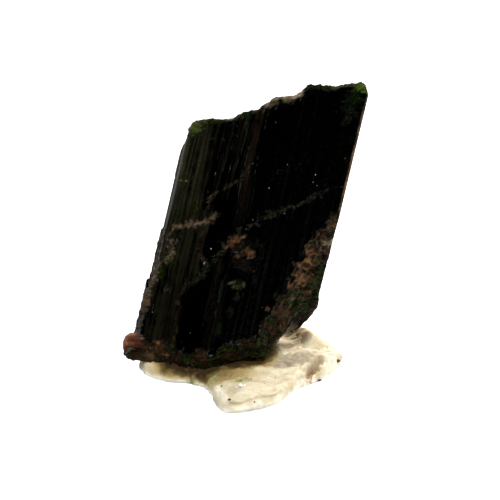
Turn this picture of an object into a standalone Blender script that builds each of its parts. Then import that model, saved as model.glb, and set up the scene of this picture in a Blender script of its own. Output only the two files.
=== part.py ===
"""A dark chrome tourmaline crystal standing in a flattened wad of display putty.

Lengths are in millimetres until the meshes are made. +Z is up, the front looks along -Y, and the origin
lies on the flat underside of the putty. The crystal is modelled in its own frame: u runs across it to the
right, v runs through it to the back, and w runs up its long axis.
"""

import math

import bmesh
import bpy
from mathutils import Matrix, Vector, noise

MM = 0.001

# How the crystal stands
CRYSTAL_LEAN_RIGHT = 13.3
CRYSTAL_LEAN_BACK = 13.0
CRYSTAL_FOOT = (-0.95, 1.28, 0.80)

# Section of the prism in u and v, going round with the solid on the left, and the relief of its striae
SECTION_CORNERS = [
    (-4.33, 0.60),
    (-4.06, -0.42),
    (-1.00, -2.05),
    (-0.35, -2.28),
    (3.15, -1.80),
    (3.74, -1.10),
    (3.62, 0.90),
    (1.60, 2.30),
    (-1.40, 2.52),
    (-3.60, 1.85),
]
FRONT_V = -2.28
STRIA_WIDTH = 0.33
STRIA_DEPTH = 0.035
PRISM_LOW = -2.2
PRISM_HIGH = 15.2

# Outer layers that are left on the front, each as how far it stands proud and its outline in u and w
LAYERS = [
    ("lower_layer", 0.15, [
        (-6.0, -3.0), (-6.0, 2.10), (-4.20, 2.25), (-4.02, 3.00), (-3.86, 3.70), (-3.60, 4.20),
        (-3.58, 5.40), (-3.05, 5.66), (-2.36, 5.80), (-2.02, 6.38), (-1.70, 6.75), (-0.60, 6.10),
        (0.10, 4.60), (1.20, 4.10), (2.10, 4.90), (5.0, 5.40), (5.0, -3.0),
    ]),
    ("right_layer", 0.10, [
        (-2.45, 5.0), (-2.42, 7.40), (-2.12, 7.80), (-1.54, 8.18), (-1.08, 8.64), (-0.84, 9.35),
        (-0.86, 10.6), (-0.98, 16.0), (6.0, 16.0), (6.0, 5.0),
    ]),
]
LAYER_BACK_EDGE = 0.4

# The broken top and foot: height along w for each u, seen from the front
TOP_PROFILE = [
    (-4.60, 9.40), (-4.30, 9.55), (-4.20, 10.05), (-4.10, 10.60), (-3.95, 10.90), (-3.50, 11.07),
    (-2.71, 11.20), (-2.10, 11.46), (-1.87, 11.73), (-1.28, 11.90), (-0.93, 12.26), (-0.54, 12.68),
    (0.30, 12.96), (0.60, 13.25), (0.89, 13.67), (1.50, 13.79), (2.16, 13.88), (2.69, 14.17),
    (3.27, 14.40), (3.60, 14.28), (3.85, 13.90),
]
TOP_FALL_TO_BACK = 0.20
TOP_ROUGHNESS = 0.11
TOP_LUMP = 1.1
FOOT_PROFILE = [
    (-5.00, -1.50), (-4.20, -1.68), (-3.86, -1.60), (-3.32, -1.53), (-2.39, -1.34), (-1.31, -0.99),
    (-0.56, -0.72), (0.27, -0.33), (0.73, -0.18), (1.28, 0.15), (1.76, 0.15), (2.15, 0.33),
    (2.26, 0.66), (2.75, 1.00), (3.07, 1.22), (3.31, 1.60), (3.57, 2.40), (3.82, 3.30), (3.95, 3.90),
]
FOOT_RISE_TO_BACK = 0.21
FOOT_ROUGHNESS = 0.08
FOOT_LUMP = 0.9
BREAK_CELL = 0.27
BREAK_SPAN_U = (-5.6, 4.6)
BREAK_SPAN_V = (-3.4, 3.6)

# Chips: centre, direction it faces, width and relief. The first is the flank low on the right of the front
CHIPS = [
    ("flank_chip", (3.00, -1.25, 4.60), (0.60, -0.78, -0.17), 6.6, 0.17),
    ("foot_chip", (1.60, -2.00, 1.05), (0.24, -0.85, -0.46), 3.6, 0.12),
    ("back_chip", (-2.60, 2.12, 9.20), (-0.30, 0.78, 0.55), 4.4, 0.15),
    ("back_foot_chip", (1.30, 2.20, 2.40), (0.28, 0.86, -0.42), 4.4, 0.15),
]
CHIP_LUMP = 0.8
CHIP_DISHING = 0.35
CHIP_THICKNESS = 2.5

# Lumps of host rock grown to the foot on the left: the pinkish knob and the dark one that it sits on
KNOBS = [
    ("knob", (-4.42, -0.42, -0.38), (0.60, 0.62, 0.52)),
    ("knob_seat", (-4.05, -0.50, -0.96), (0.72, 0.72, 0.50)),
]
KNOB_LUMPS = 0.16

# Plan of the putty wad, going round with the putty on the left
PUTTY_CENTRE = (0.3, 0.2)
PUTTY_PLAN = [
    (4.72, 1.60), (4.45, 2.40), (3.95, 3.15), (3.30, 3.90), (2.20, 4.70), (0.50, 5.25), (-1.50, 5.05),
    (-3.30, 4.10), (-4.60, 2.60), (-5.10, 1.20), (-4.80, 0.10), (-3.90, -0.72), (-3.01, -0.95),
    (-2.15, -1.50), (-1.70, -2.30), (-1.52, -3.40), (-1.15, -4.70), (-0.56, -5.02), (0.44, -4.68),
    (1.28, -4.05), (1.98, -3.07), (2.53, -1.95), (3.05, -1.30), (3.75, -0.60), (4.40, 0.55),
]
PUTTY_SPOKES = 72
PUTTY_RINGS = 11
PUTTY_RIM = 0.62
PUTTY_BODY = 0.90
PUTTY_ROUGHNESS = 0.07
PUTTY_RIM_BULGE = 0.45
PUTTY_UNDERSIDE_INSET = 0.955

# Swellings and hollows of the wad: centre, the two half widths, the turn of the long axis, and the height
PUTTY_SWELLINGS = [
    ((2.90, 0.20), (1.50, 0.42), 24.0, 0.45),
    ((3.00, 2.80), (1.50, 0.60), -52.0, 0.62),
    ((2.30, 1.40), (1.10, 0.50), 10.0, -0.12),
    ((0.60, -1.55), (2.30, 0.55), 6.0, 0.16),
    ((0.20, -3.60), (0.90, 1.00), 20.0, 0.16),
    ((0.20, 4.10), (2.30, 0.70), 0.0, 0.45),
    ((-3.30, 2.20), (0.80, 1.20), 30.0, 0.30),
]

# Room between the crystal and the putty that it is pressed into
SOCKET_GAP = 0.30
SOCKET_HEIGHT = 2.6
HULL_FLATNESS = math.radians(3.0)


def clear_scene():
    for old in list(bpy.data.objects):
        bpy.data.objects.remove(old)


def surface(name, colour, roughness):
    """A Principled material of one plain colour."""
    material = bpy.data.materials.new(name)
    material.use_nodes = True
    shader = material.node_tree.nodes["Principled BSDF"]
    shader.inputs["Base Color"].default_value = (*colour, 1.0)
    shader.inputs["Roughness"].default_value = roughness
    shader.inputs["Metallic"].default_value = 0.0
    return material


def add_object(name, builder, helper=False):
    """Turns a bmesh in millimetres into an object in metres."""
    bmesh.ops.recalc_face_normals(builder, faces=builder.faces)
    bmesh.ops.scale(builder, vec=(MM, MM, MM), verts=builder.verts)
    mesh = bpy.data.meshes.new(name)
    builder.to_mesh(mesh)
    builder.free()
    made = bpy.data.objects.new(name, mesh)
    bpy.context.scene.collection.objects.link(made)
    if helper:
        made.hide_render = True
        made.display_type = "WIRE"
    return made


def add_boolean(target, tool, operation):
    modifier = target.modifiers.new(f"{operation.lower()}_{tool.name}", "BOOLEAN")
    modifier.operation = operation
    modifier.object = tool
    modifier.solver = "EXACT"


def level_at(profile, x):
    """The height of a profile at x, straight between its points."""
    if x <= profile[0][0]:
        return profile[0][1]
    for (x0, y0), (x1, y1) in zip(profile, profile[1:]):
        if x <= x1:
            return y0 + (y1 - y0) * (x - x0) / (x1 - x0)
    return profile[-1][1]


def rough(position, lump, seed):
    """Broken-stone relief within about 1 either way: broad lumps, finer grain and flat facets."""
    place = Vector(position) / lump + Vector((seed * 7.3, seed * 3.1, seed * 5.7))
    lumps = 0.75 * noise.noise(place)
    grain = 0.35 * noise.noise(place * 2.7)
    facets = 0.35 * (noise.cell(place * 1.3) - 0.5)
    return lumps + grain + facets


def striated_section(proud):
    """The prism's outline: fine ridges break up each face, and the whole is moved out by the given amount."""
    outline = []
    count = len(SECTION_CORNERS)
    for face in range(count):
        start = Vector(SECTION_CORNERS[face])
        end = Vector(SECTION_CORNERS[(face + 1) % count])
        along = (end - start).normalized()
        outward = Vector((along.y, -along.x))
        strips = max(2, round((end - start).length / STRIA_WIDTH))
        for strip in range(strips):
            share = strip / strips
            relief = 0.0
            if strip:
                share += 0.5 * noise.noise((face * 3.7, strip * 1.9, 0.5)) / strips
                side = 1 if strip % 2 else -1
                relief = STRIA_DEPTH * side * (0.6 + noise.noise((strip * 2.3, face, 4.0)))
            outline.append(start.lerp(end, share) + outward * (relief + proud))
    return outline


def extruded(outline, to_point, low, high):
    """A closed prism on a flat outline. to_point places an outline point at a height."""
    builder = bmesh.new()
    rings = [[builder.verts.new(to_point(point, level)) for point in outline] for level in (low, high)]
    builder.faces.new(rings[0])
    builder.faces.new(rings[1])
    for index in range(len(outline)):
        after = (index + 1) % len(outline)
        builder.faces.new((rings[0][index], rings[0][after], rings[1][after], rings[1][index]))
    return builder


def prism(proud):
    return extruded(striated_section(proud), lambda point, w: (point[0], point[1], w), PRISM_LOW, PRISM_HIGH)


def front_shape(outline, front, back):
    """An outline seen from the front, in u and w, carried through from v = front to v = back."""
    return extruded(outline, lambda point, v: (point[0], v, point[1]), front, back)


def close_with_slab(builder, level):
    """Gives an open sheet side walls up to the level and a flat cap there."""
    border = [edge for edge in builder.edges if edge.is_boundary]
    for item in bmesh.ops.extrude_edge_only(builder, edges=border)["geom"]:
        if isinstance(item, bmesh.types.BMVert):
            item.co.z = level
    bmesh.ops.holes_fill(builder, edges=[edge for edge in builder.edges if edge.is_boundary])
    bmesh.ops.triangulate(builder, faces=builder.faces)


def break_tool(height, beyond):
    """A rough sheet across the whole prism, thickened as far as w = beyond: it takes off what is past it."""
    columns = round((BREAK_SPAN_U[1] - BREAK_SPAN_U[0]) / BREAK_CELL)
    rows = round((BREAK_SPAN_V[1] - BREAK_SPAN_V[0]) / BREAK_CELL)
    builder = bmesh.new()
    grid = []
    for row in range(rows + 1):
        v = BREAK_SPAN_V[0] + (BREAK_SPAN_V[1] - BREAK_SPAN_V[0]) * row / rows
        line = []
        for column in range(columns + 1):
            u = BREAK_SPAN_U[0] + (BREAK_SPAN_U[1] - BREAK_SPAN_U[0]) * column / columns
            line.append(builder.verts.new((u, v, height(u, v))))
        grid.append(line)
    for near, far in zip(grid, grid[1:]):
        for column in range(columns):
            builder.faces.new((near[column], near[column + 1], far[column + 1], far[column]))
    close_with_slab(builder, beyond)
    return builder


def top_height(u, v):
    fall = TOP_FALL_TO_BACK * (v - FRONT_V)
    return level_at(TOP_PROFILE, u) - fall + TOP_ROUGHNESS * rough((u, v, 0), TOP_LUMP, 1)


def foot_height(u, v):
    rise = FOOT_RISE_TO_BACK * (v - FRONT_V)
    return level_at(FOOT_PROFILE, u) + rise + FOOT_ROUGHNESS * rough((u, v, 0), FOOT_LUMP, 2)


def chip_tool(centre, facing, width, relief, seed):
    """A rough, slightly dished slab: its inner side is the chip's surface, and it faces outward."""
    builder = bmesh.new()
    cells = round(width / BREAK_CELL)
    bmesh.ops.create_grid(builder, x_segments=cells, y_segments=cells, size=width / 2)
    for vert in builder.verts:
        dish = CHIP_DISHING * (vert.co.xy.length / width) ** 2
        vert.co.z = relief * rough(vert.co, CHIP_LUMP, seed) + dish
    close_with_slab(builder, CHIP_THICKNESS)
    turn = Vector(facing).to_track_quat("Z", "Y").to_matrix().to_4x4()
    bmesh.ops.transform(builder, matrix=Matrix.Translation(centre) @ turn, verts=builder.verts)
    return builder


def knob_shape(centre, radii):
    builder = bmesh.new()
    bmesh.ops.create_icosphere(builder, subdivisions=2, radius=1.0)
    for vert in builder.verts:
        swell = 1.0 + KNOB_LUMPS * noise.noise(vert.co * 2.1)
        vert.co = Vector([part * radius * swell for part, radius in zip(vert.co, radii)])
    bmesh.ops.translate(builder, vec=centre, verts=builder.verts)
    return builder


def crystal_stand():
    """Takes the crystal's own frame to the place where it leans in the putty."""
    lean = Matrix.Rotation(math.radians(-CRYSTAL_LEAN_BACK), 4, "X")
    lean = lean @ Matrix.Rotation(math.radians(CRYSTAL_LEAN_RIGHT), 4, "Y")
    return Matrix.Translation(Vector(CRYSTAL_FOOT) * MM) @ lean


def make_crystal():
    crystal = add_object("tourmaline_crystal", prism(0.0))
    layers = []
    for name, proud, outline in LAYERS:
        layer = add_object(name, prism(proud), helper=True)
        window = front_shape(outline, BREAK_SPAN_V[0] - 1.0, LAYER_BACK_EDGE)
        add_boolean(layer, add_object(name + "_outline", window, helper=True), "INTERSECT")
        layers.append(layer)
    knobs = [add_object(name, knob_shape(centre, radii), helper=True) for name, centre, radii in KNOBS]
    cuts = [
        add_object("top_break", break_tool(top_height, PRISM_HIGH + 3.0), helper=True),
        add_object("foot_break", break_tool(foot_height, PRISM_LOW - 3.0), helper=True),
    ]
    for seed, (name, centre, facing, width, relief) in enumerate(CHIPS, start=3):
        cuts.append(add_object(name, chip_tool(centre, facing, width, relief, seed), helper=True))
    for layer in layers:
        add_boolean(crystal, layer, "UNION")
    for cut in cuts:
        add_boolean(crystal, cut, "DIFFERENCE")
    for knob in knobs:
        add_boolean(crystal, knob, "UNION")
    stand = crystal_stand()
    for made in bpy.data.objects:
        made.matrix_world = stand
    crystal.data.materials.append(surface("tourmaline", (0.012, 0.022, 0.012), 0.28))
    return crystal


def smooth_loop(points, count):
    """Evenly numbered points on a smooth closed curve through the given ones."""
    made = []
    total = len(points)
    for index in range(count):
        place = index * total / count
        first = int(place)
        share = place - first
        before, start, end, after = (Vector(points[(first + step) % total]) for step in (-1, 0, 1, 2))
        straight = (end - before) * share
        bend = (2 * before - 5 * start + 4 * end - after) * share ** 2
        twist = (3 * start - before - 3 * end + after) * share ** 3
        made.append(start + 0.5 * (straight + bend + twist))
    return made


def putty_top(x, y, share):
    """Height of the wad's upper side. share runs from 0 in the middle to 1 at the rim."""
    height = PUTTY_RIM + (PUTTY_BODY - PUTTY_RIM) * (1 - share ** 3)
    for (centre_x, centre_y), (long_half, short_half), turn, rise in PUTTY_SWELLINGS:
        angle = math.radians(turn)
        along = (x - centre_x) * math.cos(angle) + (y - centre_y) * math.sin(angle)
        across = (y - centre_y) * math.cos(angle) - (x - centre_x) * math.sin(angle)
        height += rise * math.exp(-(along / long_half) ** 2 - (across / short_half) ** 2)
    folds = noise.noise((x * 0.9, y * 1.6, 2.0)) + 0.5 * noise.noise((x * 2.2, y * 3.1, 7.0))
    return height + PUTTY_ROUGHNESS * folds


def putty_shape():
    centre = Vector(PUTTY_CENTRE)
    rim = smooth_loop(PUTTY_PLAN, PUTTY_SPOKES)
    builder = bmesh.new()
    middle = builder.verts.new((centre.x, centre.y, putty_top(centre.x, centre.y, 0.0)))
    rings = []
    for ring in range(1, PUTTY_RINGS + 1):
        share = ring / PUTTY_RINGS
        line = []
        for edge in rim:
            place = centre.lerp(edge, share)
            height = putty_top(place.x, place.y, share)
            if ring == PUTTY_RINGS:
                height *= PUTTY_RIM_BULGE
            line.append(builder.verts.new((place.x, place.y, height)))
        rings.append(line)
    foot = [centre.lerp(edge, PUTTY_UNDERSIDE_INSET) for edge in rim]
    rings.append([builder.verts.new((place.x, place.y, 0.0)) for place in foot])
    for spoke in range(PUTTY_SPOKES):
        after = (spoke + 1) % PUTTY_SPOKES
        builder.faces.new((middle, rings[0][spoke], rings[0][after]))
        for inner, outer in zip(rings, rings[1:]):
            builder.faces.new((inner[spoke], outer[spoke], outer[after], inner[after]))
    builder.faces.new(rings[-1])
    return builder


def hull_around(points):
    """The closed convex hull of some points, without the points that lie inside it."""
    builder = bmesh.new()
    for point in points:
        builder.verts.new(point)
    bmesh.ops.convex_hull(builder, input=builder.verts)
    loose = [vert for vert in builder.verts if not vert.link_faces]
    bmesh.ops.delete(builder, geom=loose, context="VERTS")
    bmesh.ops.dissolve_limit(builder, angle_limit=HULL_FLATNESS, verts=builder.verts, edges=builder.edges)
    bmesh.ops.triangulate(builder, faces=builder.faces)
    bmesh.ops.recalc_face_normals(builder, faces=builder.faces)
    builder.normal_update()
    return builder


def socket_tool(crystal):
    """What the foot presses out of the putty: the hull of the foot's points, moved out by the gap."""
    seen = crystal.evaluated_get(bpy.context.evaluated_depsgraph_get())
    points = [crystal.matrix_world @ vert.co / MM for vert in seen.to_mesh().vertices]
    seen.to_mesh_clear()
    foot = hull_around([point for point in points if point.z < SOCKET_HEIGHT])
    moved = [vert.co + vert.normal * SOCKET_GAP for vert in foot.verts]
    foot.free()
    return add_object("socket", hull_around(moved), helper=True)


def make_putty(crystal):
    putty = add_object("putty_pad", putty_shape())
    bpy.context.view_layer.update()
    add_boolean(putty, socket_tool(crystal), "DIFFERENCE")
    putty.data.materials.append(surface("putty", (0.80, 0.74, 0.60), 0.62))
    return putty


clear_scene()
make_putty(make_crystal())
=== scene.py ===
import itertools
import math
from types import SimpleNamespace

import bmesh
import bpy
import numpy as np
from mathutils import Matrix, Vector, noise
from mathutils.bvhtree import BVHTree
from mathutils.geometry import delaunay_2d_cdt


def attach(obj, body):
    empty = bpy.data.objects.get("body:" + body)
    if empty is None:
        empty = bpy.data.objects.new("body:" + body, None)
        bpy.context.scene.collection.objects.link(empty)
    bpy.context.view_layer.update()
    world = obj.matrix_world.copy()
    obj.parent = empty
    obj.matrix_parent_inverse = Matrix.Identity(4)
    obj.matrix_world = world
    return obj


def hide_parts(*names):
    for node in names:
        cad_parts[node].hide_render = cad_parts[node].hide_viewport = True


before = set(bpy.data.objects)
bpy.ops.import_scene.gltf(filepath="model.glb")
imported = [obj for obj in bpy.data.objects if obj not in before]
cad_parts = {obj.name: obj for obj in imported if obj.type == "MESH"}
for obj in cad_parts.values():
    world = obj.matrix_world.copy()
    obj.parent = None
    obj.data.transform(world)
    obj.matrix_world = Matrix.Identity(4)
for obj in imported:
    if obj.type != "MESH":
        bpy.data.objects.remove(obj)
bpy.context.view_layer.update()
mm = 0.001


# Noise, ramps and distances, for whole arrays of points

def cellNumber(cells, seed):  # a repeatable number from -1 to 1 for each whole-numbered cell
    mixed = cells[..., 0] * 374761393 + cells[..., 1] * 668265263 + cells[..., 2] * 2246822519
    mixed = (mixed + seed * 3266489917) & 0xFFFFFFFF
    mixed = ((mixed ^ (mixed >> 13)) * 1274126177) & 0xFFFFFFFF
    return (mixed ^ (mixed >> 16)) / 0x7FFFFFFF - 1.0


def softNoise(places, seed):  # smooth noise from -1 to 1
    cells = np.floor(places).astype(np.int64)
    share = places - cells
    share = share * share * (3.0 - 2.0 * share)
    total = np.zeros(places.shape[:-1])
    for step in itertools.product((0, 1), repeat=3):
        weight = np.prod(np.where(np.array(step) == 1, share, 1.0 - share), axis=-1)
        total += weight * cellNumber(cells + np.array(step), seed)
    return total


def layeredNoise(places, seed, layers=3):  # each layer twice as fine and half as strong
    return sum(0.5 ** layer * softNoise(places * 2.0 ** layer, seed + layer) for layer in range(layers))


def brokenFacets(places, seed):  # flat tilted facets with small steps between them, as on broken stone
    cells = np.floor(places).astype(np.int64)
    nearest = np.full(places.shape[:-1], 99.0)
    height = np.zeros(places.shape[:-1])
    for step in itertools.product((-1, 0, 1), repeat=3):
        cell = cells + np.array(step)
        jitter = np.stack([cellNumber(cell, seed + axis) for axis in range(3)], axis=-1)
        away = places - (cell + 0.5 + 0.45 * jitter)
        distance = (away ** 2).sum(axis=-1)
        tilt = sum(cellNumber(cell, seed + 5 + axis) * away[..., axis] for axis in range(3))
        closer = distance < nearest
        height = np.where(closer, 0.6 * cellNumber(cell, seed + 9) + 0.9 * tilt, height)
        nearest = np.minimum(nearest, distance)
    return height


def ramp(value, low, high):  # 0 up to low, 1 from high on, and smooth between them
    share = np.clip((value - low) / (high - low), 0.0, 1.0)
    return share * share * (3.0 - 2.0 * share)


def distanceToLine(u, w, line):  # distance to a bent line
    best = np.full(u.shape, 99.0)
    for (u0, w0), (u1, w1) in zip(line, line[1:]):
        du, dw = u1 - u0, w1 - w0
        share = np.clip(((u - u0) * du + (w - w0) * dw) / (du * du + dw * dw), 0.0, 1.0)
        best = np.minimum(best, np.hypot(u - u0 - share * du, w - w0 - share * dw))
    return best


def depthInside(u, w, outline):  # distance to a closed outline, negative outside it
    closed = outline + outline[:1]
    inside = np.zeros(u.shape, dtype=bool)
    for (u0, w0), (u1, w1) in zip(closed, closed[1:]):
        if w0 != w1:
            inside ^= ((w0 > w) != (w1 > w)) & (u < (u1 - u0) * (w - w0) / (w1 - w0) + u0)
    return np.where(inside, 1.0, -1.0) * distanceToLine(u, w, closed)


def roughStone(u, v, w, lump, seed):  # the same broad relief as the frame's broken places have
    made = np.zeros(u.shape)
    for index in np.ndindex(u.shape):
        place = Vector((u[index], v[index], w[index])) / lump + Vector((seed * 7.3, seed * 3.1, seed * 5.7))
        made[index] = 0.75 * noise.noise(place) + 0.35 * noise.noise(place * 2.7)
        made[index] += 0.35 * (noise.cell(place * 1.3) - 0.5)
    return made


def joined(u, v, w):  # three arrays as places
    return np.stack([u, v, w], axis=-1)


def turned(x, y, degrees):  # lengths along and across a line that is turned this far
    angle = math.radians(degrees)
    return x * math.cos(angle) + y * math.sin(angle), y * math.cos(angle) - x * math.sin(angle)


def addFinish(mesh, name, first, second, third):  # three finishes go to the materials as one attribute
    layer = mesh.color_attributes.new(name, "FLOAT_COLOR", "POINT")
    colours = np.ones((len(first), 4))
    colours[:, 0], colours[:, 1], colours[:, 2] = first, second, third
    layer.data.foreach_set("color", colours.ravel())


def surfaceTree(piece):  # a finished piece, for finding places on it in millimetres
    points = np.empty(3 * len(piece.data.vertices))
    piece.data.vertices.foreach_get("co", points)
    polygons = [tuple(face.vertices) for face in piece.data.polygons]
    return BVHTree.FromPolygons((points.reshape(-1, 3) / mm).tolist(), polygons)


# Material nodes

def addNode(tree, kind, inputs=(), **settings):
    made = tree.nodes.new("ShaderNode" + kind)
    for name, value in settings.items():
        setattr(made, name, value)
    for name, value in dict(inputs).items():
        put(tree, made.inputs[name], value)
    return made


def put(tree, socket, value):
    if isinstance(value, bpy.types.NodeSocket):
        tree.links.new(value, socket)
    else:
        socket.default_value = value


def blendColours(tree, factor, first, second):
    made = addNode(tree, "Mix", data_type="RGBA")
    for index, value in ((0, factor), (6, first), (7, second)):
        isReady = isinstance(value, (bpy.types.NodeSocket, float))
        put(tree, made.inputs[index], value if isReady else (*value, 1.0))
    return made.outputs[2]


def compute(tree, operation, *values):
    made = addNode(tree, "Math", operation=operation)
    for index, value in enumerate(values):
        put(tree, made.inputs[index], value)
    return made.outputs[0]


def stretch(tree, value, low, high, outLow=0.0, outHigh=1.0):
    made = addNode(tree, "MapRange", clamp=True)
    for index, part in enumerate((value, low, high, outLow, outHigh)):
        put(tree, made.inputs[index], part)
    return made.outputs[0]


def colourRamp(tree, value, stops):
    made = addNode(tree, "ValToRGB", {"Fac": value})
    elements = made.color_ramp.elements
    elements[0].position, elements[0].color = stops[0][0], (*stops[0][1], 1.0)
    elements[1].position, elements[1].color = stops[-1][0], (*stops[-1][1], 1.0)
    for position, colour in stops[1:-1]:
        elements.new(position).color = (*colour, 1.0)
    return made.outputs["Color"]


def grainOf(tree, where, scale, detail=3.0, stretchBy=None):
    if stretchBy:
        where = addNode(tree, "Mapping", {"Vector": where, "Scale": stretchBy}).outputs[0]
    made = addNode(tree, "TexNoise", {"Vector": where, "Scale": scale, "Detail": detail, "Roughness": 0.6})
    return made.outputs["Fac"]


def finishesOf(tree, name):  # the three finishes in one attribute
    stored = addNode(tree, "Attribute", attribute_name=name).outputs["Color"]
    return addNode(tree, "SeparateColor", {"Color": stored}).outputs


def placeOf(tree, turn=(0.0, 0.0, 0.0)):  # where a point is, in millimetres
    inObject = addNode(tree, "TexCoord").outputs["Object"]
    inputs = {"Vector": inObject, "Rotation": turn, "Scale": (1000, 1000, 1000)}
    return addNode(tree, "Mapping", inputs).outputs[0]


def newSurface(name):
    surface = bpy.data.materials.new(name)
    surface.use_nodes = True
    tree = surface.node_tree
    return surface, tree, tree.nodes["Principled BSDF"]


# The crystal. Lengths are in millimetres until a mesh is made. It has its own frame: u runs across it to the
# right, v through it to the back, and w up its long axis.

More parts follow.
